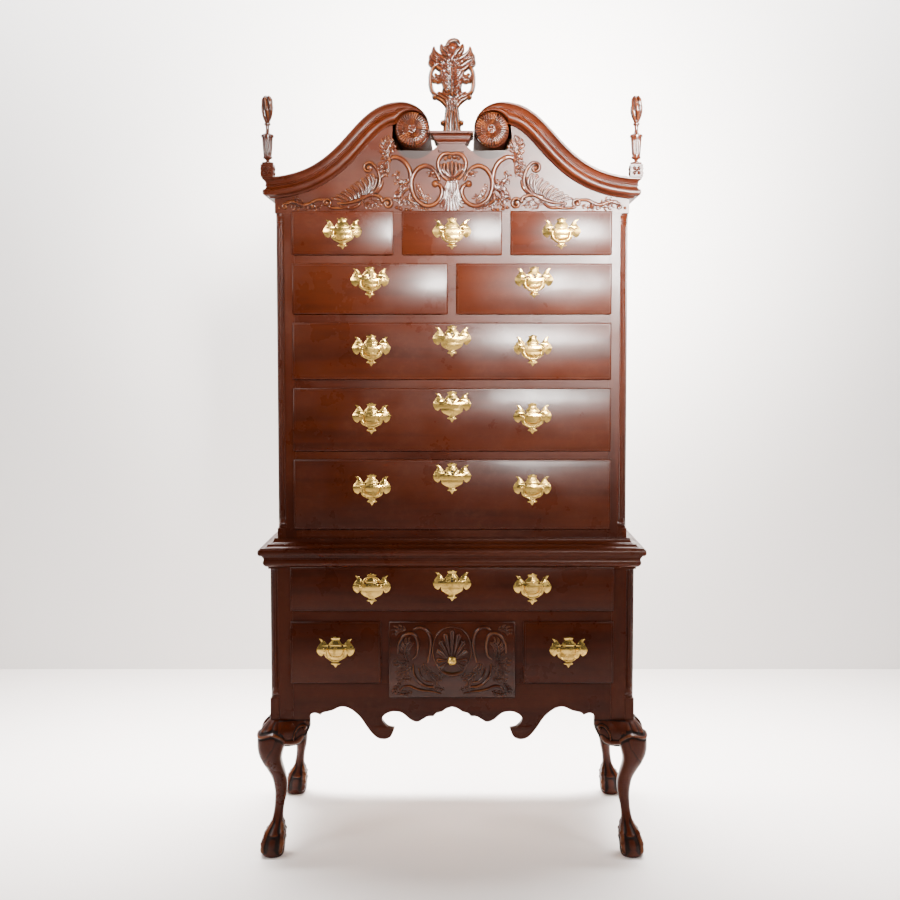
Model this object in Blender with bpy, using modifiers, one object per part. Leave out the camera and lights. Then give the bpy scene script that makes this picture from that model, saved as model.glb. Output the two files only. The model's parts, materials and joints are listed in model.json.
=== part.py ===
"""A tall chest of drawers (highboy) in carved mahogany, as an assembly of separate pieces.

Frame: metres, +Z up, +X to the right of someone facing the drawers, the front towards -Y.
The origin is on the floor, under the middle of the chest.
"""

from math import cos, pi, radians, sin, sqrt

import bmesh
import bpy
from mathutils import Vector
from mathutils.geometry import interpolate_bezier

# Overall sizes.
LOWER_WIDTH = 1.070
STEP_IN = 0.0225
CASE_DEPTH = 0.516
LEG_HEIGHT = 0.407

# Gaps between pieces.
GAP = 0.0003
DRAWER_GAP = 0.0015
PIN_GAP = 0.0004

# Boards.
SIDE_BOARD = 0.020
FRONT_BOARD = 0.022
BACK_BOARD = 0.012
DUST_BOARD = 0.012
DIVIDER_BOARD = 0.014
POST_DEPTH = 0.046
COLUMN = 0.026
UPPER_STILE = 0.029
LOWER_STILE = 0.042

# Heights of the drawer openings, from the bottom up, and of what lies between them.
SIDE_SILL = 0.108
CENTRE_SILL = 0.065
SIDE_DRAWER_OPENING = 0.179
LOWER_RAIL = 0.036
LONG_DRAWER_OPENING = 0.125
LOWER_TOP_RAIL = 0.032
UPPER_BASE = 0.079
UPPER_OPENINGS = (0.202, 0.180, 0.161, 0.142, 0.122)
UPPER_RAIL = 0.029

# Widths of the openings that are set by themselves, and of the uprights beside them.
UPRIGHT = 0.036
TOP_MIDDLE_OPENING = 0.278
SHELL_DRAWER_OPENING = 0.358

# Drawers.
LIP = 0.006
LIP_PROUD = 0.008
DRAWER_FRONT = 0.020
DRAWER_WALL = 0.011
DRAWER_BOTTOM = 0.009
DRAWER_SIDE_DROP = 0.012
DRAWER_BACK_SPACE = 0.012

# Brasses. A pull's line is given below the top edge of its drawer front.
PULL_SPACING = 0.469
PULL_DROPS = {1: 0.058, 2: 0.047, 3: 0.073, 4: 0.081, 5: 0.081, 6: 0.0565, 7: 0.082}
POST_SPACING = 0.063
POST_RADIUS = 0.0045
POST_LENGTH = 0.0165
PIVOT_OUT = 0.012
BAIL_WIRE = 0.0019
BAIL_DROP = 0.031
BAIL_LEG = 0.0245
RAISED_LEAN = radians(6)
KNOB_DROP = 0.112
KNOB_RADIUS = 0.0135
KNOB_LENGTH = 0.024

# Mouldings, pediment and ornaments.
WAIST_DEPTH = 0.0285
WAIST_BELOW = 0.024
WAIST_ABOVE = 0.056
CORNICE_DEPTH = 0.0325
CORNICE_HEIGHT = 0.058
CORNICE_TOP = 0.099
ROOF_BOARD = 0.010
CREST_X = 0.146
CREST_RISE = 0.213
ROSETTE_X = 0.1137
ROSETTE_DROP = 0.075
ROSETTE_RADIUS = 0.048
SCROLL_RADIUS = 0.050
NOTCH_X = 0.108
NOTCH_DROP = 0.092
NOTCH_RADIUS = 0.065
NECK_HALF = 0.037
NECK_RISE = 0.196
CAP_SIDE_GAP = 0.0012
CAP_HEIGHT = 0.034
FINIAL_SETBACK = 0.030
CARTOUCHE_HEIGHT = 0.279
CARTOUCHE_THICKNESS = 0.032
FLAME_BLOCK = 0.032
FLAME_BLOCK_HEIGHT = 0.036
FLAME_HEIGHT = 0.200

# Legs.
KNEE_OUT = 0.039
FOOT_OUT = 0.035
FOOT_WIDTH = 0.082
ANKLE_WIDTH = 0.028
BRACKET_START = 0.060
BRACKET_REACH = 0.114
BRACKET_DROP = 0.082
BRACKET_SET_BACK = 0.004
BRACKET_THICKNESS = 0.030

# Heights and planes that follow from the sizes.
LOWER_TOP = (
    LEG_HEIGHT + SIDE_SILL + SIDE_DRAWER_OPENING + LOWER_RAIL + LONG_DRAWER_OPENING + LOWER_TOP_RAIL
)
LOWER_FRONT = -CASE_DEPTH / 2
BACK = CASE_DEPTH / 2
LOWER_HALF = LOWER_WIDTH / 2
UPPER_HALF = LOWER_HALF - STEP_IN
UPPER_FRONT = LOWER_FRONT + STEP_IN
UPPER_OPENING = UPPER_HALF - COLUMN - UPPER_STILE
LOWER_OPENING = LOWER_HALF - COLUMN - LOWER_STILE
INSIDE_BACK = BACK - BACK_BOARD
BOARD_BOTTOM = (
    LOWER_TOP + UPPER_BASE + sum(UPPER_OPENINGS) + UPPER_RAIL * (len(UPPER_OPENINGS) - 1)
)
CORNICE_Z = BOARD_BOTTOM + CORNICE_TOP
CREST_Z = CORNICE_Z + CREST_RISE
ROSETTE_Z = CREST_Z - ROSETTE_DROP
SIDE_TOP = CORNICE_Z - ROOF_BOARD - 0.006
CAP_HALF = ROSETTE_X - SCROLL_RADIUS - CAP_SIDE_GAP


# ---------------------------------------------------------------- collections and materials


def clear_scene():
    for obj in list(bpy.data.objects):
        bpy.data.objects.remove(obj, do_unlink=True)


def new_collection(name, hidden=False):
    collection = bpy.data.collections.new(name)
    bpy.context.scene.collection.children.link(collection)
    collection.hide_render = hidden
    return collection


def new_material(name, colour, roughness, metallic):
    material = bpy.data.materials.new(name)
    material.use_nodes = True
    shader = material.node_tree.nodes["Principled BSDF"]
    shader.inputs["Base Color"].default_value = (*colour, 1)
    shader.inputs["Roughness"].default_value = roughness
    shader.inputs["Metallic"].default_value = metallic
    return material


clear_scene()
CHEST = new_collection("tall_chest_of_drawers")
CUTTERS = new_collection("cutters", hidden=True)
MAHOGANY = (0.105, 0.024, 0.008)
DARK_MAHOGANY = (0.060, 0.014, 0.006)
DRAWER_WOOD = (0.30, 0.15, 0.06)
BRASS = (0.56, 0.40, 0.13)


def finish(obj, colour, roughness=0.35, metallic=0.0):
    """Gives a piece a material of its own."""
    obj.data.materials.clear()
    obj.data.materials.append(new_material(obj.name, colour, roughness, metallic))
    return obj


# ---------------------------------------------------------------- shapes


def mesh_object(name, mesh, collection=None):
    obj = bpy.data.objects.new(name, mesh)
    (collection or CHEST).objects.link(obj)
    return obj


def box(name, low, high, collection=None):
    """A board between two corners."""
    mesh = bpy.data.meshes.new(name)
    shape = bmesh.new()
    bmesh.ops.create_cube(shape, size=1)
    low, high = Vector(low), Vector(high)
    bmesh.ops.scale(shape, vec=high - low, verts=shape.verts)
    bmesh.ops.translate(shape, vec=(low + high) / 2, verts=shape.verts)
    shape.to_mesh(mesh)
    shape.free()
    return mesh_object(name, mesh, collection)


def outline(name, points, low, high, plane="XZ", collection=None):
    """A flat outline, filled and extruded from low to high across its plane."""
    curve = bpy.data.curves.new(name, "CURVE")
    curve.dimensions = "2D"
    curve.fill_mode = "BOTH"
    curve.extrude = (high - low) / 2
    spline = curve.splines.new("POLY")
    spline.points.add(len(points) - 1)
    for point, (across, along) in zip(spline.points, points):
        point.co = (across, along, 0, 1)
    spline.use_cyclic_u = True
    flat = bpy.data.objects.new(name + "_outline", curve)
    CUTTERS.objects.link(flat)
    middle = (low + high) / 2
    if plane == "XZ":
        flat.rotation_euler = (pi / 2, 0, 0)
        flat.location = (0, middle, 0)
    elif plane == "YZ":
        flat.rotation_euler = (pi / 2, 0, pi / 2)
        flat.location = (middle, 0, 0)
    else:
        flat.location = (0, 0, middle)
    bpy.context.view_layer.update()
    graph = bpy.context.evaluated_depsgraph_get()
    mesh = bpy.data.meshes.new_from_object(flat.evaluated_get(graph))
    mesh.transform(flat.matrix_world)
    mesh.name = name
    bpy.data.objects.remove(flat)
    shape = bmesh.new()
    shape.from_mesh(mesh)
    bmesh.ops.remove_doubles(shape, verts=shape.verts, dist=0.00001)
    bmesh.ops.recalc_face_normals(shape, faces=shape.faces)
    shape.to_mesh(mesh)
    shape.free()
    return mesh_object(name, mesh, collection)


def turned(name, profile, place, axis="Z", steps=12, collection=None):
    """A turned piece: (radius, height) pairs from the top down, spun about an axis through place."""
    mesh = bpy.data.meshes.new(name)
    shape = bmesh.new()
    corners = [shape.verts.new((radius, 0, height)) for radius, height in profile]
    for above, below in zip(corners, corners[1:]):
        shape.edges.new((above, below))
    shape.to_mesh(mesh)
    shape.free()
    obj = mesh_object(name, mesh, collection)
    screw = obj.modifiers.new("turning", "SCREW")
    screw.steps = steps
    screw.render_steps = steps
    screw.use_merge_vertices = True
    screw.merge_threshold = 0.00001
    obj.location = place
    if axis == "-Y":
        obj.rotation_euler = (pi / 2, 0, 0)
    return obj


def rod(name, radius, low, high, sides, axis="X", collection=None):
    """A straight round rod along X or Y, between two points."""
    mesh = bpy.data.meshes.new(name)
    shape = bmesh.new()
    low, high = Vector(low), Vector(high)
    bmesh.ops.create_cone(
        shape, cap_ends=True, segments=sides, radius1=radius, radius2=radius, depth=(high - low).length
    )
    obj_turn = (0, pi / 2, 0) if axis == "X" else (pi / 2, 0, 0)
    shape.to_mesh(mesh)
    shape.free()
    obj = mesh_object(name, mesh, collection)
    obj.rotation_euler = obj_turn
    obj.location = (low + high) / 2
    return obj


def loft(name, rings):
    """A closed body through rings of points, with a flat face at each end."""
    mesh = bpy.data.meshes.new(name)
    shape = bmesh.new()
    rows = [[shape.verts.new(point) for point in ring] for ring in rings]
    count = len(rows[0])
    for near, far in zip(rows, rows[1:]):
        for i in range(count):
            j = (i + 1) % count
            shape.faces.new((near[i], near[j], far[j], far[i]))
    shape.faces.new(rows[0][::-1])
    shape.faces.new(rows[-1])
    bmesh.ops.recalc_face_normals(shape, faces=shape.faces)
    shape.to_mesh(mesh)
    shape.free()
    return mesh_object(name, mesh)


def helper(obj):
    obj.hide_render = True
    obj.display_type = "WIRE"
    return obj


def combine(target, operation, *pieces, solver="EXACT"):
    """Joins pieces to a target with UNION, or cuts them out of it with DIFFERENCE."""
    for piece in pieces:
        if piece.name not in CUTTERS.objects:
            CHEST.objects.unlink(piece)
            CUTTERS.objects.link(piece)
        helper(piece)
        boolean = target.modifiers.new(piece.name, "BOOLEAN")
        boolean.operation = operation
        boolean.solver = solver
        boolean.object = piece
    return target


def boards(name, *corners):
    """One piece made of several overlapping boards, each given by its two corners."""
    first = box(name, *corners[0])
    extra = [box(f"{name}_board_{i}", *pair, CUTTERS) for i, pair in enumerate(corners[1:], 1)]
    return combine(first, "UNION", *extra)


def mirrored(points, side):
    return [(side * x, z) for x, z in points]


def side_name(side):
    return "left" if side < 0 else "right"


# ---------------------------------------------------------------- case sides, backs and columns


def case_side(name, side, half, front, stile, bottom, top):
    """A side board and the front stile beside its corner column, in one plan outline."""
    corner = front + COLUMN
    inner = half - COLUMN - stile
    plan = [
        (half, BACK),
        (half, corner),
        (half - COLUMN, corner),
        (half - COLUMN, front),
        (inner, front),
        (inner, front + POST_DEPTH),
        (half - SIDE_BOARD, front + POST_DEPTH),
        (half - SIDE_BOARD, BACK),
    ]
    return outline(name, mirrored(plan, side), bottom, top, "XY")


def make_sides_and_backs():
    for side in (-1, 1):
        lower = case_side(
            f"lower_side_{side_name(side)}", side, LOWER_HALF, LOWER_FRONT, LOWER_STILE, LEG_HEIGHT, LOWER_TOP
        )
        finish(lower, MAHOGANY)
        upper = case_side(
            f"upper_side_{side_name(side)}",
            side,
            UPPER_HALF,
            UPPER_FRONT,
            UPPER_STILE,
            LOWER_TOP + GAP,
            BOARD_BOTTOM - GAP,
        )
        near, far = sorted((side * (UPPER_HALF - SIDE_BOARD), side * UPPER_HALF))
        head = box(
            f"upper_side_head_{side_name(side)}",
            (near, UPPER_FRONT + COLUMN, BOARD_BOTTOM - 0.010),
            (far, BACK, SIDE_TOP),
            CUTTERS,
        )
        finish(combine(upper, "UNION", head), MAHOGANY)
    lower_wide = LOWER_HALF - SIDE_BOARD - GAP
    upper_wide = UPPER_HALF - SIDE_BOARD - GAP
    lower_back = box(
        "lower_back",
        (-lower_wide, INSIDE_BACK, LEG_HEIGHT),
        (lower_wide, BACK, LOWER_TOP),
    )
    finish(lower_back, DARK_MAHOGANY, 0.6)
    upper_back = box(
        "upper_back",
        (-upper_wide, INSIDE_BACK, LOWER_TOP + GAP),
        (upper_wide, BACK, CEILING - GAP),
    )
    finish(upper_back, DARK_MAHOGANY, 0.6)


def quarter_round(centre, radius, side, steps=6):
    """A quarter circle in plan, bulging outwards and forwards from the inner corner of its notch."""
    x, y = centre
    arc = [
        (x + side * radius * sin(pi / 2 * i / steps), y - radius * cos(pi / 2 * i / steps))
        for i in range(steps + 1)
    ]
    return [(x, y), *arc]


def quarter_column(name, side, half, front, bottom, shaft_low, shaft_high, top):
    """A quarter-round column let into the corner, on a square block, with a base and a capital."""
    size = COLUMN - GAP
    centre = (side * (half - size), front + size)
    base_height = 0.026
    shaft = outline(name, quarter_round(centre, size - 0.003, side), shaft_low, shaft_high, "XY")
    block_corners = sorted((side * (half - size), side * half))
    block = box(
        f"{name}_block",
        (block_corners[0], front, bottom),
        (block_corners[1], front + size, shaft_low - base_height / 2),
        CUTTERS,
    )
    base = outline(
        f"{name}_base",
        quarter_round(centre, size - GAP, side),
        shaft_low - base_height,
        shaft_low + base_height / 2,
        "XY",
        CUTTERS,
    )
    capital = outline(
        f"{name}_capital", quarter_round(centre, size - GAP, side), shaft_high - 0.030, top, "XY", CUTTERS
    )
    return finish(combine(shaft, "UNION", block, base, capital), DARK_MAHOGANY)


def make_columns():
    upper_block_top = LOWER_TOP + UPPER_BASE + 0.005
    lower_block_top = LEG_HEIGHT + 0.064
    for side in (-1, 1):
        quarter_column(
            f"upper_quarter_column_{side_name(side)}",
            side,
            UPPER_HALF,
            UPPER_FRONT,
            LOWER_TOP + GAP,
            upper_block_top + 0.013,
            BOARD_BOTTOM - 0.005,
            BOARD_BOTTOM - GAP,
        )
        quarter_column(
            f"lower_quarter_column_{side_name(side)}",
            side,
            LOWER_HALF,
            LOWER_FRONT,
            LEG_HEIGHT,
            lower_block_top + 0.013,
            LOWER_TOP - 0.005,
            LOWER_TOP,
        )


# ---------------------------------------------------------------- rails, partitions and bottoms


def uprights(divisions, front, low, high):
    """Boards for each upright: a post between two drawer fronts and the divider behind it."""
    pairs = []
    for x in divisions:
        pairs.append(((x - UPRIGHT / 2, front, low), (x + UPRIGHT / 2, front + POST_DEPTH, high)))
        pairs.append(
            ((x - DIVIDER_BOARD / 2, front + 0.010, low), (x + DIVIDER_BOARD / 2, INSIDE_BACK - GAP, high))
        )
    return pairs


def partition(name, half, opening, front, low, rail, divisions=(), above=0.0):
    """A front rail with its dust board, and the uprights that stand on it."""
    top = low + rail
    pairs = [
        ((-(opening - GAP), front, low), (opening - GAP, front + POST_DEPTH, top)),
        (
            (-(half - SIDE_BOARD - GAP), front + POST_DEPTH + GAP, top - DUST_BOARD),
            (half - SIDE_BOARD - GAP, INSIDE_BACK - GAP, top),
        ),
        (
            (-(opening - 0.020), front + 0.010, top - DUST_BOARD),
            (opening - 0.020, front + POST_DEPTH + 0.020, top),
        ),
        *uprights(divisions, front, top - DUST_BOARD, top + above - GAP),
    ]
    return finish(boards(name, *pairs), MAHOGANY)


def upper_opening_heights():
    """(low, high) of each upper drawer opening, from the bottom up."""
    heights = []
    low = LOWER_TOP + UPPER_BASE
    for height in UPPER_OPENINGS:
        heights.append((low, low + height))
        low += height + UPPER_RAIL
    return heights


TOP_UPRIGHTS = [side * (TOP_MIDDLE_OPENING / 2 + UPRIGHT / 2) for side in (-1, 1)]
LOWER_UPRIGHTS = [side * (SHELL_DRAWER_OPENING / 2 + UPRIGHT / 2) for side in (-1, 1)]
CEILING = BOARD_BOTTOM + 0.008


def make_upper_partitions():
    heights = upper_opening_heights()
    for row, (below, above) in zip((5, 4, 3, 2), zip(heights, heights[1:])):
        divisions = {2: TOP_UPRIGHTS, 3: [0.0]}.get(row, ())
        partition(
            f"partition_{row - 1}_{row}",
            UPPER_HALF,
            UPPER_OPENING,
            UPPER_FRONT,
            below[1],
            UPPER_RAIL,
            divisions,
            above[1] - above[0] if divisions else 0.0,
        )
    front = UPPER_FRONT
    low, top = LOWER_TOP + GAP, LOWER_TOP + UPPER_BASE
    wide = UPPER_HALF - SIDE_BOARD - GAP
    bottom = boards(
        "upper_bottom",
        ((-(UPPER_OPENING - GAP), front, low), (UPPER_OPENING - GAP, front + POST_DEPTH, top)),
        ((-wide, front + POST_DEPTH + GAP, top - DUST_BOARD), (wide, INSIDE_BACK - GAP, top)),
        (
            (-(UPPER_OPENING - 0.020), front + 0.010, top - DUST_BOARD),
            (UPPER_OPENING - 0.020, front + POST_DEPTH + 0.020, top),
        ),
    )
    finish(bottom, MAHOGANY)


def make_lower_partition():
    """The rail over the three lower drawers. Its two uprights hang from it down to the apron."""
    low = LEG_HEIGHT + SIDE_SILL + SIDE_DRAWER_OPENING
    top = low + LOWER_RAIL
    wide = LOWER_HALF - SIDE_BOARD - GAP
    pairs = [
        ((-(LOWER_OPENING - GAP), LOWER_FRONT, low), (LOWER_OPENING - GAP, LOWER_FRONT + POST_DEPTH, top)),
        ((-wide, LOWER_FRONT + POST_DEPTH + GAP, top - DUST_BOARD), (wide, INSIDE_BACK - GAP, top)),
        (
            (-(LOWER_OPENING - 0.020), LOWER_FRONT + 0.010, top - DUST_BOARD),
            (LOWER_OPENING - 0.020, LOWER_FRONT + POST_DEPTH + 0.020, top),
        ),
        *uprights(LOWER_UPRIGHTS, LOWER_FRONT, LEG_HEIGHT + SIDE_SILL + GAP, top - DUST_BOARD / 2),
    ]
    finish(boards("lower_partition", *pairs), MAHOGANY)


def make_lower_bottom():
    """The stepped bottom: two side boards, and the centre board a little lower between two cheeks."""
    wide = LOWER_HALF - SIDE_BOARD - GAP
    cheek_in = SHELL_DRAWER_OPENING / 2
    cheek_out = cheek_in + DIVIDER_BOARD
    side_top = LEG_HEIGHT + SIDE_SILL
    centre_top = LEG_HEIGHT + CENTRE_SILL
    half_section = [
        (wide, side_top),
        (cheek_in, side_top),
        (cheek_in, centre_top),
        (-cheek_in, centre_top),
        (-cheek_in, side_top),
        (-wide, side_top),
        (-wide, side_top - DUST_BOARD),
        (-cheek_out, side_top - DUST_BOARD),
        (-cheek_out, centre_top - DUST_BOARD),
        (cheek_out, centre_top - DUST_BOARD),
        (cheek_out, side_top - DUST_BOARD),
        (wide, side_top - DUST_BOARD),
    ]
    bottom = outline(
        "lower_bottom", half_section, LOWER_FRONT + POST_DEPTH + GAP, INSIDE_BACK - GAP, "XZ"
    )
    finish(bottom, DRAWER_WOOD, 0.6)


# ---------------------------------------------------------------- apron and legs


def smooth_run(knots, steps=2):
    """Points along a smooth run through its knots."""
    points = []
    for i in range(len(knots) - 1):
        before = Vector(knots[max(i - 1, 0)])
        start, end = Vector(knots[i]), Vector(knots[i + 1])
        after = Vector(knots[min(i + 2, len(knots) - 1)])
        out_handle = start + (end - before) / 6
        in_handle = end - (after - start) / 6
        points += interpolate_bezier(start, out_handle, in_handle, end, steps + 1)[:-1]
    return [(point.x, point.y) for point in points] + [tuple(knots[-1])]


# Each run is (out from the middle, above the case bottom), between two sharp points of the scrollwork.
APRON_RUNS = (
    ((0.418, 0.0), (0.417, 0.014), (0.404, 0.020), (0.387, 0.014)),
    ((0.387, 0.014), (0.379, 0.021), (0.354, 0.027), (0.328, 0.038), (0.302, 0.033), (0.272, 0.009),
     (0.245, -0.030), (0.223, -0.053), (0.201, -0.059), (0.181, -0.051), (0.170, -0.027)),
    ((0.170, -0.027), (0.190, -0.022), (0.206, -0.002), (0.199, 0.014), (0.176, 0.024), (0.148, 0.020),
     (0.123, 0.000), (0.103, -0.007), (0.086, 0.001), (0.072, 0.009), (0.055, 0.010)),
    ((0.055, 0.010), (0.046, 0.019), (0.030, 0.024), (0.016, 0.033), (0.0, 0.038)),
)


def apron_edge():
    """The scrolled lower edge, from the right stile to the middle."""
    points = []
    for run in APRON_RUNS:
        points += smooth_run(run)[:-1]
    return [(x, LEG_HEIGHT + rise) for x, rise in points] + [(0.0, LEG_HEIGHT + APRON_RUNS[-1][-1][1])]


def make_apron():
    edge = apron_edge()
    end = LOWER_OPENING - GAP
    sill, step = LEG_HEIGHT + SIDE_SILL, LEG_HEIGHT + CENTRE_SILL
    half = [
        (end, LEG_HEIGHT),
        *edge,
    ]
    other_half = [(-x, z) for x, z in reversed(half[:-1])]
    top = [
        (-end, sill),
        (-SHELL_DRAWER_OPENING / 2, sill),
        (-SHELL_DRAWER_OPENING / 2, step),
        (SHELL_DRAWER_OPENING / 2, step),
        (SHELL_DRAWER_OPENING / 2, sill),
        (end, sill),
    ]
    apron = outline("apron", half + other_half + top, LOWER_FRONT, LOWER_FRONT + FRONT_BOARD, "XZ")
    finish(apron, MAHOGANY)


def leg_sections():
    """(height, outside, inside) of a leg, measured outwards from the faces of the lower case."""
    foot_in = FOOT_OUT - FOOT_WIDTH
    ankle_out = -0.007
    ankle_in = ankle_out - ANKLE_WIDTH
    foot = [
        (0.000, FOOT_OUT - 0.024, foot_in + 0.026),
        (0.006, FOOT_OUT - 0.010, foot_in + 0.012),
        (0.028, FOOT_OUT, foot_in + 0.001),
        (0.052, FOOT_OUT - 0.003, foot_in),
        (0.070, FOOT_OUT - 0.012, foot_in + 0.004),
        (0.092, ankle_out + 0.008, ankle_in - 0.006),
        (0.128, ankle_out, ankle_in),
    ]
    shank = [
        (0.242, ankle_out, ankle_in - 0.007),
        (0.195, ankle_out + 0.007, ankle_in - 0.009),
        (0.158, ankle_out + 0.021, ankle_in - 0.001),
        (0.122, KNEE_OUT - 0.008, ankle_in + 0.004),
        (0.092, KNEE_OUT, ankle_in - 0.002),
        (0.058, KNEE_OUT, ankle_in - 0.031),
        (0.028, KNEE_OUT - 0.012, ankle_in - 0.041),
        (GAP, 0.004, ankle_in - 0.045),
    ]
    return foot + [(LEG_HEIGHT - below, out, inside) for below, out, inside in shank]


def leg_ring(height, outside, inside, side, face):
    """An eight-sided ring: a square with its corners taken off."""
    half = (outside - inside) / 2
    x = side * (LOWER_HALF + (outside + inside) / 2)
    y = face * (CASE_DEPTH / 2 + (outside + inside) / 2)
    short = half * 0.42
    corners = ((half, short), (short, half), (-short, half), (-half, short),
               (-half, -short), (-short, -half), (short, -half), (half, -short))
    return [(x + dx, y + dy, height) for dx, dy in corners]


def knee_bracket(name, plane, along, corner, across, face):
    """A knee block. along and across are the signs of its two directions, from the planes corner and face."""
    low = LEG_HEIGHT - BRACKET_DROP
    distances = (
        (BRACKET_START, LEG_HEIGHT - GAP),
        (BRACKET_REACH, LEG_HEIGHT - GAP),
        (BRACKET_REACH - 0.010, low + 0.022),
        (BRACKET_REACH - 0.028, low),
        (BRACKET_START, low),
    )
    points = [(along * (corner - distance), height) for distance, height in distances]
    near = across * (face - BRACKET_SET_BACK - BRACKET_THICKNESS)
    far = across * (face - BRACKET_SET_BACK)
    return outline(name, points, min(near, far), max(near, far), plane, CUTTERS)


def make_leg(side, face):
    name = f"{'front' if face < 0 else 'rear'}_leg_{side_name(side)}"
    rings = [leg_ring(*section, side, face) for section in leg_sections()]
    leg = loft(name, rings)
    end_block = knee_bracket(f"{name}_end_bracket", "XZ", side, LOWER_HALF, face, CASE_DEPTH / 2)
    side_block = knee_bracket(f"{name}_side_bracket", "YZ", face, CASE_DEPTH / 2, side, LOWER_HALF)
    return finish(combine(leg, "UNION", end_block, side_block), MAHOGANY)


# ---------------------------------------------------------------- waist moulding and pediment


def waist_rings():
    """The moulding's section carried round three sides of the case, with mitred corners."""
    profile = (
        (GAP, -WAIST_BELOW),
        (0.003, -0.002),
        (WAIST_DEPTH, 0.011),
        (WAIST_DEPTH, 0.028),
        (WAIST_DEPTH * 0.35, 0.043),
        (GAP - STEP_IN, WAIST_ABOVE),
        (GAP - STEP_IN, GAP),
        (GAP, GAP),
    )
    rings = []
    for side, y, turn in ((-1, BACK, 0), (-1, LOWER_FRONT, 1), (1, LOWER_FRONT, 1), (1, BACK, 0)):
        rings.append([(side * (LOWER_HALF + out), y - turn * out, LOWER_TOP + up) for out, up in profile])
    return rings


def make_waist():
    """The moulding that hides the joint of the two cases, with the lower case's top rails."""
    waist = loft("waist_moulding", waist_rings())
    rail_low = LOWER_TOP - LOWER_TOP_RAIL
    opening = LOWER_OPENING - GAP
    rail = box(
        "waist_moulding_rail",
        (-opening, LOWER_FRONT + GAP, rail_low),
        (opening, UPPER_FRONT - 2 * GAP, LOWER_TOP + 0.005),
        CUTTERS,
    )
    finish(combine(waist, "UNION", rail), MAHOGANY)


def crest_curve(steps=14):
    """The top edge of the right-hand swan neck: an S from the corner to the crest, then down to the scroll."""
    start = Vector((UPPER_HALF + CORNICE_DEPTH, CORNICE_Z))
    crest = Vector((CREST_X, CREST_Z))
    tip = Vector((ROSETTE_X - SCROLL_RADIUS, ROSETTE_Z))
    span = start.x - crest.x
    rise = interpolate_bezier(
        start, start - Vector((span * 0.62, 0)), crest + Vector((span * 0.39, 0)), crest, steps
    )
    round_x, round_z = 0.552 * (crest.x - tip.x), 0.552 * (crest.y - tip.y)
    fall = interpolate_bezier(
        crest, crest - Vector((round_x, 0)), tip + Vector((0, round_z)), tip, steps // 2
    )
    over_front = [point for point in list(rise) + list(fall)[1:] if point.x < UPPER_HALF - 0.004]
    return [start, Vector((UPPER_HALF - GAP, CORNICE_Z)), *over_front]


def inward_normals(points):
    """Unit normals of a run of points, pointing to the inside of the pediment."""
    normals = []
    for i in range(len(points)):
        before, after = points[max(i - 1, 0)], points[min(i + 1, len(points) - 1)]
        along = (after - before).normalized()
        normals.append(Vector((-along.y, along.x)))
    normals[0] = normals[1] = Vector((0, -1))
    return normals


def left_of_scroll(point, normal, width):
    """How far the moulding can go along its normal before it meets the rosette."""
    centre = Vector((ROSETTE_X, ROSETTE_Z))
    clear = ROSETTE_RADIUS + 4 * GAP
    offset = point - centre
    along = offset.dot(normal)
    miss = offset.length_squared - along * along
    if miss >= clear * clear or along > 0:
        return width
    reach = -along - sqrt(clear * clear - miss)
    return max(min(width, reach), 0.0006)


def make_cornice(side):
    """A swan-neck moulding over the front, mitred to the return along the side."""
    section = ((0.0, 0.0), (0.0, 1.0), (0.20, 0.94), (0.48, 0.62), (0.80, 0.36), (1.0, 0.24), (1.0, 0.0))
    curve = crest_curve()[1:]
    back_face = UPPER_FRONT - GAP
    rings = []
    for y, turn in ((BACK, 0), (UPPER_FRONT, 1)):
        rings.append(
            [
                (
                    side * (UPPER_HALF + GAP + out * CORNICE_DEPTH),
                    y - turn * (GAP + out * CORNICE_DEPTH),
                    CORNICE_Z - down * CORNICE_HEIGHT,
                )
                for down, out in section
            ]
        )
    for point, normal in zip(curve, crest_normals()):
        width = left_of_scroll(point, normal, CORNICE_HEIGHT)
        ring = []
        for down, out in section:
            place = point + normal * down * width
            ring.append((side * place.x, back_face - out * CORNICE_DEPTH, place.y))
        rings.append(ring)
    finish(loft(f"cornice_{side_name(side)}", rings), MAHOGANY)


def crest_normals():
    points = crest_curve()
    return inward_normals(points)[1:]


def roof_underside(extra=0.0):
    """The line that lies a roof board's thickness inside the crest."""
    points = crest_curve()
    inside = [point + normal * (ROOF_BOARD + extra) for point, normal in zip(points, inward_normals(points))]
    return [(point.x, point.y) for point in inside if point.x < UPPER_HALF and point.x > CREST_X]


def roof_half(side):
    """One bonnet roof board, ending in the solid scroll behind its rosette."""
    top = [(point.x, point.y) for point in crest_curve()[1:]]
    scroll = [
        (
            ROSETTE_X - SCROLL_RADIUS * cos(radians(turn)),
            ROSETTE_Z - SCROLL_RADIUS * sin(radians(turn)),
        )
        for turn in range(20, 241, 20)
    ]
    under = [*roof_underside(), (CREST_X, CREST_Z - ROOF_BOARD)]
    points = mirrored(top + scroll + under[::-1], side)
    return points


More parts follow.
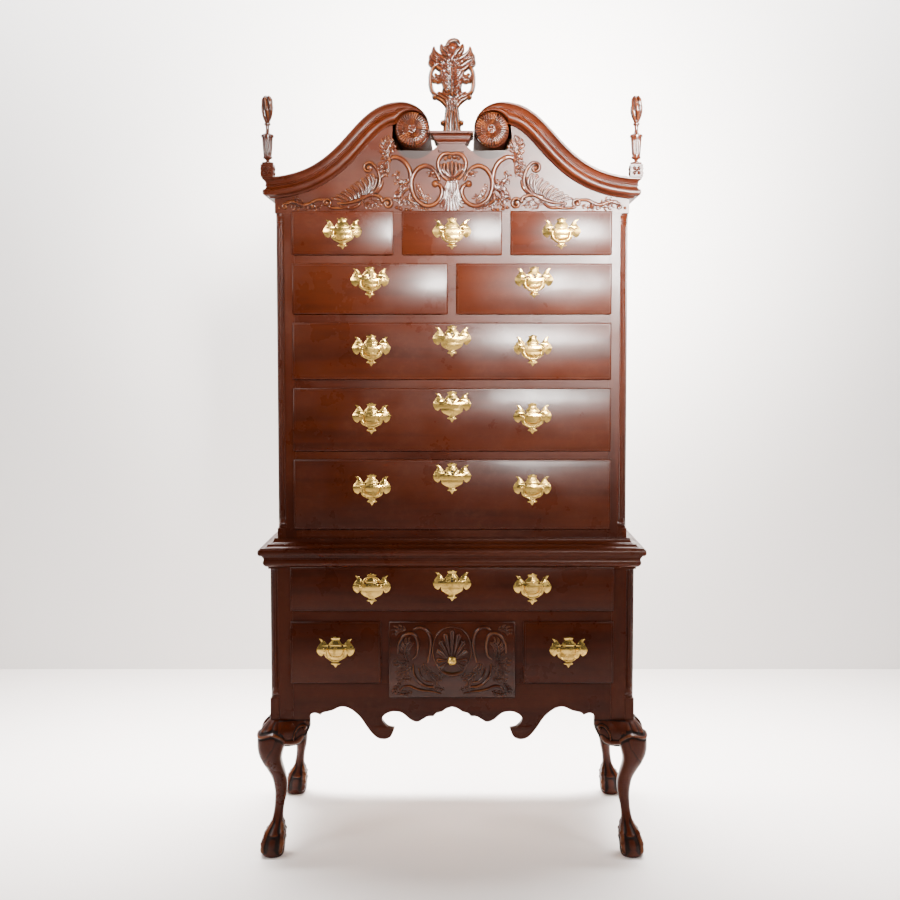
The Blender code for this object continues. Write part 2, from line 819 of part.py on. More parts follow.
def make_bonnet():
    """The closed bonnet: a ceiling over the drawers, two curved roofs and the board behind them."""
    wide = UPPER_HALF - SIDE_BOARD - GAP
    inside_front = UPPER_FRONT + FRONT_BOARD + GAP
    bonnet = box(
        "bonnet",
        (-wide, inside_front, CEILING),
        (wide, BACK - 0.001, CEILING + DUST_BOARD),
    )
    under = [(x, z + ROOF_BOARD / 2) for x, z in roof_underside()]
    gap_low = ROSETTE_Z - SCROLL_RADIUS - 0.020
    half = [
        (0.0, gap_low),
        (ROSETTE_X - 0.030, gap_low),
        (ROSETTE_X, ROSETTE_Z),
        (CREST_X, CREST_Z - ROOF_BOARD / 2),
        *under[::-1],
        (wide, under[0][1] - 0.002),
        (wide, CEILING + DUST_BOARD / 2),
    ]
    back_points = half + [(-x, z) for x, z in reversed(half[1:])]
    back = outline("bonnet_back", back_points, INSIDE_BACK, BACK - 0.003, "XZ", CUTTERS)
    roofs = [
        outline(f"bonnet_roof_{side_name(side)}", roof_half(side), UPPER_FRONT, BACK, "XZ", CUTTERS)
        for side in (-1, 1)
    ]
    finish(combine(bonnet, "UNION", back, *roofs, solver="MANIFOLD"), DARK_MAHOGANY, 0.5)


def notch_arc(steps=9):
    """The round opening under a rosette, from the neck of the board outwards."""
    start, end = radians(222), radians(375)
    centre_z = CREST_Z - NOTCH_DROP
    return [
        (
            NOTCH_X + NOTCH_RADIUS * cos(start + (end - start) * i / steps),
            centre_z + NOTCH_RADIUS * sin(start + (end - start) * i / steps),
        )
        for i in range(steps + 1)
    ]


def make_scroll_board():
    """The carved board over the top drawers, with the stepped plinth that carries the middle finial."""
    neck_z = BOARD_BOTTOM + NECK_RISE
    arc = notch_arc()
    under = [point for point in roof_underside(2 * GAP) if point[0] > arc[-1][0] + 0.004]
    edge_z = CORNICE_Z - ROOF_BOARD - 2 * GAP
    rim_z = min(point[1] for point in under if point[0] < arc[-1][0] + 0.060)
    half = [
        (0.0, neck_z),
        (NECK_HALF, neck_z),
        *arc,
        (arc[-1][0], max(rim_z, arc[-1][1] + 0.002)),
        *under[::-1],
        (UPPER_HALF, edge_z),
        (UPPER_HALF, BOARD_BOTTOM),
    ]
    points = half + [(-x, z) for x, z in reversed(half[1:])]
    board = outline("scroll_board", points, UPPER_FRONT, UPPER_FRONT + FRONT_BOARD, "XZ")
    steps = []
    for share_low, share_high, half_width in ((-0.6, 0.3, 0.62), (0.28, 0.66, 0.80), (0.64, 1.0, 1.0)):
        reach = CAP_HALF * half_width
        middle = UPPER_FRONT + FINIAL_SETBACK
        steps.append(
            box(
                f"plinth_step_{len(steps)}",
                (-reach, middle - reach, neck_z + share_low * CAP_HEIGHT),
                (reach, middle + reach, neck_z + share_high * CAP_HEIGHT),
                CUTTERS,
            )
        )
    finish(combine(board, "UNION", *steps), MAHOGANY)


def make_rosette(side):
    profile = (
        (0.0, 0.032),
        (0.008, 0.031),
        (0.011, 0.022),
        (0.030, 0.028),
        (0.046, 0.022),
        (ROSETTE_RADIUS, 0.012),
        (ROSETTE_RADIUS, 0.0),
        (0.0, 0.0),
    )
    place = (side * ROSETTE_X, UPPER_FRONT - GAP, ROSETTE_Z)
    rosette = turned(f"rosette_{side_name(side)}", profile, place, "-Y", 20)
    finish(rosette, DARK_MAHOGANY)


# Outline of the cartouche: (half width, share of the height) going up, as silhouette and opening.
CARTOUCHE_EDGE = (
    (0.0245, 0.000), (0.0225, 0.105), (0.0320, 0.118), (0.0320, 0.142), (0.0210, 0.160), (0.0205, 0.255),
    (0.0300, 0.320), (0.0480, 0.370), (0.0580, 0.392), (0.0560, 0.430), (0.0640, 0.500), (0.0655, 0.575),
    (0.0590, 0.660), (0.0500, 0.710), (0.0640, 0.735), (0.0600, 0.790), (0.0450, 0.800), (0.0560, 0.858),
    (0.0360, 0.880), (0.0300, 0.930), (0.0180, 0.965), (0.0060, 1.000),
)
CARTOUCHE_HOLE = (
    (0.0300, 0.420), (0.0440, 0.405), (0.0530, 0.470), (0.0540, 0.570), (0.0480, 0.650), (0.0400, 0.660),
    (0.0300, 0.600), (0.0260, 0.520),
)


def make_cartouche():
    bottom = BOARD_BOTTOM + NECK_RISE + CAP_HEIGHT + GAP
    middle = UPPER_FRONT + FINIAL_SETBACK
    right = [(x, bottom + share * CARTOUCHE_HEIGHT) for x, share in CARTOUCHE_EDGE]
    points = right + [(-x, z) for x, z in reversed(right)]
    near, far = middle - CARTOUCHE_THICKNESS / 2, middle + CARTOUCHE_THICKNESS / 2
    cartouche = outline("cartouche_finial", points, near, far, "XZ")
    holes = []
    for side in (-1, 1):
        hole = [(side * x, bottom + share * CARTOUCHE_HEIGHT) for x, share in CARTOUCHE_HOLE]
        cutter = outline(f"cartouche_hole_{side_name(side)}", hole, near - 0.01, far + 0.01, "XZ", CUTTERS)
        holes.append(cutter)
    finish(combine(cartouche, "DIFFERENCE", *holes), DARK_MAHOGANY)


def make_flame_finial(side):
    """A turned urn with a flame, on a square block at the corner of the cornice."""
    profile = (
        (0.0, 1.0),
        (0.006, 0.985),
        (0.015, 0.860),
        (0.018, 0.770),
        (0.012, 0.660),
        (0.006, 0.625),
        (0.006, 0.500),
        (0.018, 0.470),
        (0.016, 0.410),
        (0.012, 0.200),
        (0.005, 0.095),
        (0.017, 0.065),
        (0.017, 0.000),
        (0.0, 0.0),
    )
    reach = FLAME_BLOCK / 2
    x = side * (UPPER_HALF + CORNICE_DEPTH - reach)
    y = UPPER_FRONT - CORNICE_DEPTH + reach
    low = CORNICE_Z + GAP
    top = low + FLAME_BLOCK_HEIGHT
    points = [(radius, height * FLAME_HEIGHT - 0.002) for radius, height in profile]
    finial = turned(f"flame_finial_{side_name(side)}", points, (x, y, top), steps=12)
    block = box(
        f"flame_block_{side_name(side)}",
        (x - reach, y - reach, low),
        (x + reach, y + reach, top),
        CUTTERS,
    )
    finish(combine(finial, "UNION", block), DARK_MAHOGANY)


# ---------------------------------------------------------------- drawers and brasses


def pull_post(name, x, face, z):
    """A brass post standing on a drawer front, bored across for the pin of its bail."""
    post = rod(
        name, POST_RADIUS, (x, face - POST_LENGTH, z), (x, face + 0.003, z), 8, "Y", CUTTERS
    )
    bore = rod(
        f"{name}_bore",
        BAIL_WIRE + PIN_GAP,
        (x - 2 * POST_RADIUS, face - PIVOT_OUT, z),
        (x + 2 * POST_RADIUS, face - PIVOT_OUT, z),
        8,
        "X",
        CUTTERS,
    )
    return post, bore


def drawer(name, left, right, low, high, case_front, pulls=()):
    """A lipped drawer that fills an opening of the case, with the posts of its pulls.

    left, right, low and high are the opening's edges, and pulls is a list of (x, z).
    """
    face = case_front - LIP_PROUD
    front = box(name, (left - LIP, face, low + DRAWER_GAP), (right + LIP, case_front - GAP, high + LIP))
    box_left, box_right = left + DRAWER_GAP, right - DRAWER_GAP
    box_low, box_high = low + DRAWER_GAP, high - DRAWER_GAP
    back = INSIDE_BACK - DRAWER_BACK_SPACE
    body = box(
        f"{name}_body",
        (box_left, case_front - 2 * GAP, box_low),
        (box_right, back, box_high),
        CUTTERS,
    )
    inside_front = face + DRAWER_FRONT
    hollow = box(
        f"{name}_hollow",
        (box_left + DRAWER_WALL, inside_front, box_low + DRAWER_BOTTOM),
        (box_right - DRAWER_WALL, back - DRAWER_WALL, box_high + 0.010),
        CUTTERS,
    )
    relief = box(
        f"{name}_relief",
        (box_left - 0.010, inside_front, box_high - DRAWER_SIDE_DROP),
        (box_right + 0.010, back + 0.010, box_high + 0.010),
        CUTTERS,
    )
    combine(front, "UNION", body)
    combine(front, "DIFFERENCE", hollow, relief)
    posts = []
    bores = []
    for number, (x, z) in enumerate(pulls):
        for side in (-1, 1):
            parts = pull_post(f"{name}_post_{number}_{side_name(side)}", x + side * POST_SPACING / 2, face, z)
            posts.append(parts[0])
            bores.append(parts[1])
    combine(front, "UNION", *posts)
    combine(front, "DIFFERENCE", *bores)
    return finish(front, MAHOGANY)


def bail(name, x, z, face, raised=False):
    """A bent brass handle whose two pins turn in the posts. Its origin is on the line of the pins."""
    pin_end = POST_SPACING / 2 + POST_RADIUS - 0.0010
    half = [
        (pin_end, 0.0),
        (BAIL_LEG + BAIL_WIRE, 0.0),
        (BAIL_LEG, -0.0025),
        (BAIL_LEG, -0.40 * BAIL_DROP),
        (BAIL_LEG * 0.90, -0.66 * BAIL_DROP),
        (BAIL_LEG * 0.62, -0.90 * BAIL_DROP),
        (BAIL_LEG * 0.25, -BAIL_DROP),
    ]
    points = half + [(-a, b) for a, b in reversed(half)]
    curve = bpy.data.curves.new(name, "CURVE")
    curve.dimensions = "3D"
    curve.bevel_depth = BAIL_WIRE
    curve.bevel_resolution = 1
    curve.use_fill_caps = True
    spline = curve.splines.new("POLY")
    spline.points.add(len(points) - 1)
    for point, (across, down) in zip(spline.points, points):
        point.co = (across, 0, down, 1)
    handle = mesh_object(name, curve)
    handle.location = (x, face - PIVOT_OUT, z)
    if raised:
        handle.rotation_euler = (pi - RAISED_LEAN, 0, 0)
    curve.materials.append(new_material(name, BRASS, 0.25, 1.0))
    return handle


def make_knob():
    """The turned brass knob of the shell drawer, facing forwards."""
    high = LEG_HEIGHT + SIDE_SILL + SIDE_DRAWER_OPENING + LIP
    place = (0, LOWER_FRONT - LIP_PROUD - GAP, high - KNOB_DROP)
    profile = (
        (0.0, KNOB_LENGTH),
        (KNOB_RADIUS * 0.60, KNOB_LENGTH * 0.94),
        (KNOB_RADIUS, KNOB_LENGTH * 0.68),
        (KNOB_RADIUS * 0.80, KNOB_LENGTH * 0.46),
        (KNOB_RADIUS * 0.45, KNOB_LENGTH * 0.34),
        (KNOB_RADIUS * 0.50, KNOB_LENGTH * 0.12),
        (KNOB_RADIUS * 0.75, 0.0),
        (0.0, 0.0),
    )
    finish(turned("shell_drawer_knob", profile, place, "-Y", 16), BRASS, 0.25, 1.0)


def drawer_with_pulls(row, where, left, right, low, high, case_front, xs, raised=()):
    """One drawer and its bails. row names it, and where tells it from others in its row."""
    name = "_".join(part for part in ("drawer", str(row), where) if part)
    z = high + LIP - PULL_DROPS[row]
    drawer(name, left, right, low, high, case_front, [(x, z) for x in xs])
    face = case_front - LIP_PROUD
    for x in xs:
        label = where or side_name(x)
        bail(f"bail_{row}_{label}", x, z, face, label in raised)


def make_drawers():
    heights = upper_opening_heights()
    for row, (low, high) in zip((5, 4, 3, 2, 1), heights):
        if row > 2:
            xs = (-PULL_SPACING / 2, PULL_SPACING / 2)
            drawer_with_pulls(row, "", -UPPER_OPENING, UPPER_OPENING, low, high, UPPER_FRONT, xs)
    low, high = heights[3]
    for side in (-1, 1):
        edges = sorted((side * UPRIGHT / 2, side * UPPER_OPENING))
        middle = sum(edges) / 2
        drawer_with_pulls(2, side_name(side), *edges, low, high, UPPER_FRONT, (middle,))
    low, high = heights[4]
    inner = TOP_MIDDLE_OPENING / 2
    drawer_with_pulls(1, "middle", -inner, inner, low, high, UPPER_FRONT, (0.0,))
    for side in (-1, 1):
        edges = sorted((side * (inner + UPRIGHT), side * UPPER_OPENING))
        drawer_with_pulls(1, side_name(side), *edges, low, high, UPPER_FRONT, (sum(edges) / 2,))
    low = LOWER_TOP - LOWER_TOP_RAIL - LONG_DRAWER_OPENING
    xs = (-PULL_SPACING / 2, PULL_SPACING / 2)
    drawer_with_pulls(
        6, "", -LOWER_OPENING, LOWER_OPENING, low, low + LONG_DRAWER_OPENING, LOWER_FRONT, xs, ("left",)
    )
    low = LEG_HEIGHT + SIDE_SILL
    high = low + SIDE_DRAWER_OPENING
    inner = SHELL_DRAWER_OPENING / 2
    for side in (-1, 1):
        edges = sorted((side * (inner + UPRIGHT), side * LOWER_OPENING))
        drawer_with_pulls(7, side_name(side), *edges, low, high, LOWER_FRONT, (sum(edges) / 2,))
    drawer("shell_drawer", -inner, inner, LEG_HEIGHT + CENTRE_SILL, high, LOWER_FRONT)
    make_knob()


def main():
    make_sides_and_backs()
    make_columns()
    make_upper_partitions()
    make_lower_partition()
    make_lower_bottom()
    make_apron()
    for face in (-1, 1):
        for side in (-1, 1):
            make_leg(side, face)
    make_waist()
    make_bonnet()
    make_scroll_board()
    make_cartouche()
    for side in (-1, 1):
        make_cornice(side)
        make_rosette(side)
        make_flame_finial(side)
    make_drawers()


main()
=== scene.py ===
# %% [markdown]
# # A tall chest of drawers in carved mahogany
#
# The chest is two cases, one standing on the other. The lower case has four carved legs, a long drawer
# and three short ones. The upper case has eight drawers under a scrolled pediment. The frame that is
# loaded here already has every board in its place and every drawer on its slide, so this lesson is about
# the surfaces: moulded drawer fronts, brasses, mouldings, carving and the look of old polished wood.
#
# Lengths are in metres. X runs to the right of someone who faces the drawers, the front looks towards
# -Y, and the floor is at Z = 0.

# %% Load the frame and keep its size
import json
from math import cos, pi, radians, sin, sqrt

import bmesh
import bpy
import numpy as np
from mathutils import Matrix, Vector
from mathutils.geometry import interpolate_bezier

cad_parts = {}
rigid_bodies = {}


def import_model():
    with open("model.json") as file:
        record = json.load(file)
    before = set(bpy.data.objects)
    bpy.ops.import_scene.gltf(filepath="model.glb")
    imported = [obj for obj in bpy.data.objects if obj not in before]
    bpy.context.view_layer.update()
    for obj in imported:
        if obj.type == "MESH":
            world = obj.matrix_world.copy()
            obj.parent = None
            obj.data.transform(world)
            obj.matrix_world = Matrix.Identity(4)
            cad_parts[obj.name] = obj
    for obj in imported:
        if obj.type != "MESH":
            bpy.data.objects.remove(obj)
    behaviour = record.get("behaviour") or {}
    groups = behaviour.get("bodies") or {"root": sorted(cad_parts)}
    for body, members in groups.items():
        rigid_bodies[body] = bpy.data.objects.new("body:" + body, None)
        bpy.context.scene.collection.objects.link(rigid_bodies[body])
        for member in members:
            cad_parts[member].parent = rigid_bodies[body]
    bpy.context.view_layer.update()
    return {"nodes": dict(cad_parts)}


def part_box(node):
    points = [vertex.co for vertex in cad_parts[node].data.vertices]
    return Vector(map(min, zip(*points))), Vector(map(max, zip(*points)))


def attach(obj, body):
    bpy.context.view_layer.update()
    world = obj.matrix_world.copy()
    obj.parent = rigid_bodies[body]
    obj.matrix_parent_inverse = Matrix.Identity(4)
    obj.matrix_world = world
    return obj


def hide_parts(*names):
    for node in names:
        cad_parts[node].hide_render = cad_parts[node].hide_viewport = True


for leftover in list(bpy.data.objects):
    bpy.data.objects.remove(leftover, do_unlink=True)
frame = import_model()

# %% [markdown]
# Every place is read from the boxes of the frame's own boards, so the looks follow the frame if its sizes
# change. The few sizes below are those that a box can't tell, such as how far a drawer's lip stands out.

# %% Read the main planes and heights from the frame
MM = 0.001
GAP = 0.3 * MM
side_low, side_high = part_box("upper_side_right")
UPPER_HALF, UPPER_FRONT = side_high.x, side_low.y
side_low, side_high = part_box("lower_side_right")
LOWER_HALF, LOWER_FRONT, BACK = side_high.x, side_low.y, side_high.y
CASE_BOTTOM, LOWER_TOP = side_low.z, side_high.z
BOARD_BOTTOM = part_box("scroll_board")[0].z
COLUMN = 26 * MM
SIDE_BOARD = 20 * MM
FRONT_BOARD = 22 * MM
LIP = 6 * MM
LIP_PROUD = 8 * MM
DRAWER_WALL = 11 * MM
POST_SPACING = 63 * MM
PIVOT_OUT = 12 * MM
print("upper case", 2 * UPPER_HALF, "wide, lower case", 2 * LOWER_HALF, "wide, board at", BOARD_BOTTOM)

# %% [markdown]
# ## Small helpers
#
# An operator acts on whatever is selected, so each helper starts by deselecting everything. Faces and
# edges are picked in code by where they are and which way they look, as a person would click on them.

# %% Helpers for selecting, shaping and finishing
def only(obj):
    """Makes one object the selected and active one."""
    bpy.ops.object.select_all(action="DESELECT")
    obj.select_set(True)
    bpy.context.view_layer.objects.active = obj
    return obj


def edit(obj, pick="FACE"):
    """Opens one object in edit mode with nothing in it selected."""
    only(obj)
    bpy.ops.object.mode_set(mode="EDIT")
    bpy.ops.mesh.select_mode(type=pick)
    bpy.ops.mesh.select_all(action="DESELECT")


def pick_faces(obj, test):
    """Selects the faces whose middle and normal pass the test."""
    bpy.ops.mesh.select_all(action="DESELECT")
    shape = bmesh.from_edit_mesh(obj.data)
    for face in shape.faces:
        face.select_set(bool(test(face.calc_center_median(), face.normal)))
    bmesh.update_edit_mesh(obj.data)


def weld(distance):
    """Welds the points of the mesh that is open in edit mode."""
    bpy.ops.mesh.select_all(action="SELECT")
    bpy.ops.mesh.remove_doubles(threshold=distance)


def face_outwards():
    """Turns every face of the mesh that is open in edit mode outwards."""
    bpy.ops.mesh.select_all(action="SELECT")
    bpy.ops.mesh.normals_make_consistent(inside=False)


def leave_edit():
    bpy.ops.object.mode_set(mode="OBJECT")


def settle(obj):
    """Moves an object's place, turn and size into its mesh, and leaves the object at the origin."""
    only(obj)
    bpy.ops.object.transform_apply(location=True, rotation=True, scale=True)
    return obj


def smooth(obj, angle=35):
    only(obj)
    bpy.ops.object.shade_smooth_by_angle(angle=radians(angle))
    return obj


def apply_modifiers(obj):
    only(obj)
    for modifier in list(obj.modifiers):
        bpy.ops.object.modifier_apply(modifier=modifier.name)
    return obj


def soften(obj, width, segments=2, angle=40):
    """Rounds every edge that is sharper than the angle."""
    bevel = obj.modifiers.new("soft_edges", "BEVEL")
    bevel.width = width
    bevel.segments = segments
    bevel.limit_method = "ANGLE"
    bevel.angle_limit = radians(angle)
    bevel.harden_normals = False
    return apply_modifiers(obj)


print("helpers ready")

# %% [markdown]
# Three shapes come back all through the chest. A *board* is a cube brought to size with its edges eased,
# as a plane and a little sandpaper leave them. A *cut-out* is an outline drawn as a flat curve and given
# a thickness, as a bandsaw makes it. A *sheet* is a grid whose points are placed by a rule, for what is
# shaped by carving or turning and has no flat faces at all.

# %% Boards, cut-outs and sheets
def board(name, low, high, ease=0.8 * MM):
    """A board between two corners, with its edges eased."""
    low, high = Vector(low), Vector(high)
    bpy.ops.mesh.primitive_cube_add(size=1, location=(low + high) / 2)
    obj = bpy.context.object
    obj.name = name
    obj.scale = high - low
    settle(obj)
    if ease:
        soften(obj, ease, 1)
    return obj


def join(name, pieces):
    """Joins several meshes into one object."""
    only(pieces[0])
    for piece in pieces:
        piece.select_set(True)
    bpy.ops.object.join()
    pieces[0].name = name
    return pieces[0]


def cut_out(name, outlines, near, far, ease=0.0, plane="XZ"):
    """Closed outlines, the later ones being holes, given a thickness from near to far."""
    curve = bpy.data.curves.new(name, "CURVE")
    curve.dimensions = "2D"
    curve.fill_mode = "BOTH"
    curve.extrude = (far - near) / 2
    for outline in outlines:
        spline = curve.splines.new("POLY")
        spline.points.add(len(outline) - 1)
        for point, (across, along) in zip(spline.points, outline):
            point.co = (across, along, 0, 1)
        spline.use_cyclic_u = True
    obj = bpy.data.objects.new(name, curve)
    bpy.context.collection.objects.link(obj)
    obj.location = (0, (near + far) / 2, 0) if plane == "XZ" else (0, 0, (near + far) / 2)
    obj.rotation_euler = (pi / 2, 0, 0) if plane == "XZ" else (0, 0, 0)
    only(obj)
    bpy.ops.object.convert(target="MESH")
    edit(obj, "VERT")
    weld(0.02 * MM)
    face_outwards()
    leave_edit()
    settle(obj)
    return soften(obj, ease, 1, 50) if ease else obj


def sheet(name, points, close=False):
    """A grid whose points are given as an array of rows, columns and xyz. close fills its open ends."""
    rows, columns = points.shape[:2]
    bpy.ops.mesh.primitive_grid_add(x_subdivisions=columns - 1, y_subdivisions=rows - 1, size=1)
    obj = bpy.context.object
    obj.name = name
    obj.data.vertices.foreach_set("co", points.astype(np.float32).ravel())
    obj.data.update()
    edit(obj, "VERT")
    weld(0.01 * MM)
    if close:
        bpy.ops.mesh.select_all(action="DESELECT")
        bpy.ops.mesh.select_non_manifold()
        bpy.ops.mesh.fill_holes(sides=0)
        face_outwards()
    leave_edit()
    return obj


def move_copy(obj, name, place):
    """A copy that is moved by a vector, with its own mesh."""
    twin = obj.copy()
    twin.data = obj.data.copy()
    twin.name = name
    bpy.context.collection.objects.link(twin)
    twin.location = place
    return settle(twin)


def smooth_run(knots, steps=8):
    """Points along a smooth run through its knots."""
    points = []
    knots = [Vector(knot) for knot in knots]
    for i in range(len(knots) - 1):
        before, after = knots[max(i - 1, 0)], knots[min(i + 2, len(knots) - 1)]
        start, end = knots[i], knots[i + 1]
        handles = start + (end - before) / 6, end - (after - start) / 6
        points += interpolate_bezier(start, *handles, end, steps + 1)[:-1]
    return [(point.x, point.y) for point in points] + [tuple(knots[-1])]


print("shapes ready")

# %% [markdown]
# ## Wood and brass
#
# Polished mahogany is not one brown. Its figure runs in long bands along the board, its open pores show
# as short dark dashes, and old polish is duller in some places than in others. These effects are shader
# node groups, built once: `wood_figure` gives the bands and the pores, `old_polish` gives the uneven
# gloss, the wear group paints shade and some dark wax into hollows and lightens what hands and dusters
# have rubbed, and `brass_skin` gives tarnish. The shader itself stays in each material, with its own colours.

# %% Helpers for node groups
def new_group(name, inputs, outputs):
    """An empty node group with named inputs and outputs, each given as (name, socket type, default)."""
    group = bpy.data.node_groups.new(name, "ShaderNodeTree")
    for label, kind, default in inputs:
        socket = group.interface.new_socket(name=label, in_out="INPUT", socket_type=kind)
        if default is not None:
            socket.default_value = default
    for label, kind in outputs:
        group.interface.new_socket(name=label, in_out="OUTPUT", socket_type=kind)
    return group, group.nodes.new("NodeGroupInput"), group.nodes.new("NodeGroupOutput")


def feed(tree, socket, value):
    """Links a socket to another one, or sets its default to a constant."""
    if isinstance(value, bpy.types.NodeSocket):
        tree.links.new(value, socket)
    else:
        socket.default_value = value


def add(tree, kind, **settings):
    """Adds a node. A setting that names a socket sets its default or links it, others are properties."""
    node = tree.nodes.new(kind)
    sockets = settings.pop("sockets", {})
    for key, value in settings.items():
        setattr(node, key, value)
    for key, value in sockets.items():
        feed(tree, node.inputs[key], value)
    return node


def ramp(tree, factor, low, high):
    """A smooth step from 0 at low to 1 at high."""
    limits = {"Value": factor, "From Min": low, "From Max": high}
    node = add(tree, "ShaderNodeMapRange", interpolation_type="SMOOTHSTEP", sockets=limits)
    return node.outputs["Result"]


def mix(tree, factor, first, second):
    node = add(tree, "ShaderNodeMix", data_type="RGBA")
    for place, value in ((0, factor), (6, first), (7, second)):
        feed(tree, node.inputs[place], value)
    return node.outputs[2]


def noise(tree, vector, scale, **more):
    """Procedural noise. more sets Detail, Roughness or Distortion."""
    sockets = {"Vector": vector, "Scale": scale, **more}
    return add(tree, "ShaderNodeTexNoise", sockets=sockets).outputs["Fac"]


def between(tree, factor, low, high):
    """Low where the factor is 0, high where it is 1."""
    limits = {"Value": factor, "To Min": low, "To Max": high}
    return add(tree, "ShaderNodeMapRange", sockets=limits).outputs["Result"]


def bump(tree, height, strength, distance):
    sockets = {"Strength": strength, "Distance": distance, "Height": height}
    return add(tree, "ShaderNodeBump", sockets=sockets).outputs["Normal"]


def maths(tree, operation, first, second):
    node = add(tree, "ShaderNodeMath", operation=operation, sockets={0: first, 1: second})
    return node.outputs[0]

# %% [markdown]
# The figure is noise stretched along the grain: coordinates across the grain are multiplied more than
# those along it. A plank number, painted on each piece as an attribute, shifts the pattern, so that two
# drawers don't look sawn from one endless board.

# %% The wood figure group
def build_wood_figure():
    group, given, result = new_group(
        "wood_figure",
        [("Vector", "NodeSocketVector", None), ("Plank", "NodeSocketFloat", 0.0)],
        [("Bands", "NodeSocketFloat"), ("Pores", "NodeSocketFloat"), ("Clouds", "NodeSocketFloat")],
    )
    plank = given.outputs["Plank"]
    shift = add(group, "ShaderNodeCombineXYZ", sockets={"X": plank, "Z": plank}).outputs[0]
    ends = {0: given.outputs["Vector"], 1: shift}
    place = add(group, "ShaderNodeVectorMath", operation="ADD", sockets=ends).outputs[0]

    def stretched(along, across):
        ends = {0: place, 1: (along, across, across)}
        return add(group, "ShaderNodeVectorMath", operation="MULTIPLY", sockets=ends).outputs[0]

    bands = noise(group, stretched(1.6, 34.0), 1.0, Detail=5.0, Distortion=0.25)
    pores = noise(group, stretched(60.0, 900.0), 1.0, Detail=2.0)
    clouds = noise(group, stretched(3.0, 9.0), 1.0, Detail=3.0, Distortion=0.2)
    group.links.new(ramp(group, bands, 0.36, 0.66), result.inputs["Bands"])
    group.links.new(ramp(group, pores, 0.57, 0.68), result.inputs["Pores"])
    group.links.new(ramp(group, clouds, 0.35, 0.68), result.inputs["Clouds"])
    return group


WOOD_FIGURE = build_wood_figure()
print("group", WOOD_FIGURE.name)

# %% [markdown]
# Old polish has been rubbed for a century. Where it is thin the wood looks dull and a little grey, and
# where it has pooled it shines. The group gives one value for the gloss and one for a haze of fine wear.

# %% The old polish group, and the group for wear and painted shade in hollows
def build_old_polish():
    group, given, result = new_group(
        "old_polish",
        [("Vector", "NodeSocketVector", None)],
        [("Dull", "NodeSocketFloat"), ("Haze", "NodeSocketFloat"), ("Waves", "NodeSocketFloat")],
    )
    patches = noise(group, given.outputs["Vector"], 7.0, Detail=6.0, Roughness=0.6)
    specks = noise(group, given.outputs["Vector"], 60.0, Detail=4.0, Roughness=0.65)
    waves = noise(group, given.outputs["Vector"], 11.0, Detail=1.0, Roughness=0.4)
    dull = ramp(group, patches, 0.35, 0.7)
    haze = maths(group, "MULTIPLY", dull, ramp(group, specks, 0.42, 0.72))
    group.links.new(dull, result.inputs["Dull"])
    group.links.new(haze, result.inputs["Haze"])
    group.links.new(waves, result.inputs["Waves"])
    return group


# Real wear on the crests, and painted shade with some dark wax in the hollows.
def build_wear_and_hollow_shade():
    group, given, result = new_group(
        "wear_and_hollow_shade",
        [("Vector", "NodeSocketVector", None), ("Relief", "NodeSocketFloat", 0.0)],
        [("Shade And Wax", "NodeSocketFloat"), ("Worn", "NodeSocketFloat")],
    )
    patches = noise(group, given.outputs["Vector"], 24.0, Detail=3.0)
    uneven = ramp(group, patches, 0.30, 0.65)
    # Painted shade, with some dark wax: 0 where the relief is level, rising to 1 where it lies well below its
    # surroundings.
    wax_and_shade = ramp(group, given.outputs["Relief"], -0.02, -0.45)
    worn = maths(group, "MULTIPLY", ramp(group, given.outputs["Relief"], 0.18, 0.85), uneven)
    group.links.new(wax_and_shade, result.inputs["Shade And Wax"])
    group.links.new(worn, result.inputs["Worn"])
    return group


OLD_POLISH = build_old_polish()
WEAR_AND_HOLLOW_SHADE = build_wear_and_hollow_shade()
print("groups", OLD_POLISH.name, WEAR_AND_HOLLOW_SHADE.name)

# %% [markdown]
# A mahogany material places the three groups and mixes its own three browns with them. The grain runs
# along X on rails and drawer fronts, along Z on uprights and legs, and along Y on what runs from front to
# back, so the coordinates are turned with a Mapping node before they enter the figure.

# %% The mahogany materials
GRAIN_TURN = {"X": (0, 0, 0), "Z": (0, radians(90), 0), "Y": (0, 0, radians(-90))}


def place_group(tree, group, **sockets):
    node = tree.nodes.new("ShaderNodeGroup")
    node.node_tree = group
    for key, value in sockets.items():
        feed(tree, node.inputs[key], value)
    return node.outputs


def new_material(name, **shader_values):
    """A node material whose Principled BSDF gets the given constant values."""
    material = bpy.data.materials.new(name)
    material.use_nodes = True
    shader = material.node_tree.nodes["Principled BSDF"]
    for key, value in shader_values.items():
        shader.inputs[key.replace("_", " ").title().replace("Ior", "IOR")].default_value = value
    return material, material.node_tree, shader


def wood_parts(tree, grain):
    """The place in the piece, and the figure and polish groups with the grain along an axis."""
    place = add(tree, "ShaderNodeTexCoord").outputs["Object"]
    turn = {"Vector": place, "Rotation": GRAIN_TURN[grain]}
    turned_place = add(tree, "ShaderNodeMapping", sockets=turn).outputs[0]
    plank = add(tree, "ShaderNodeAttribute", attribute_name="plank").outputs["Fac"]
    figure = place_group(tree, WOOD_FIGURE, Vector=turned_place, Plank=plank)
    return place, figure, place_group(tree, OLD_POLISH, Vector=place)


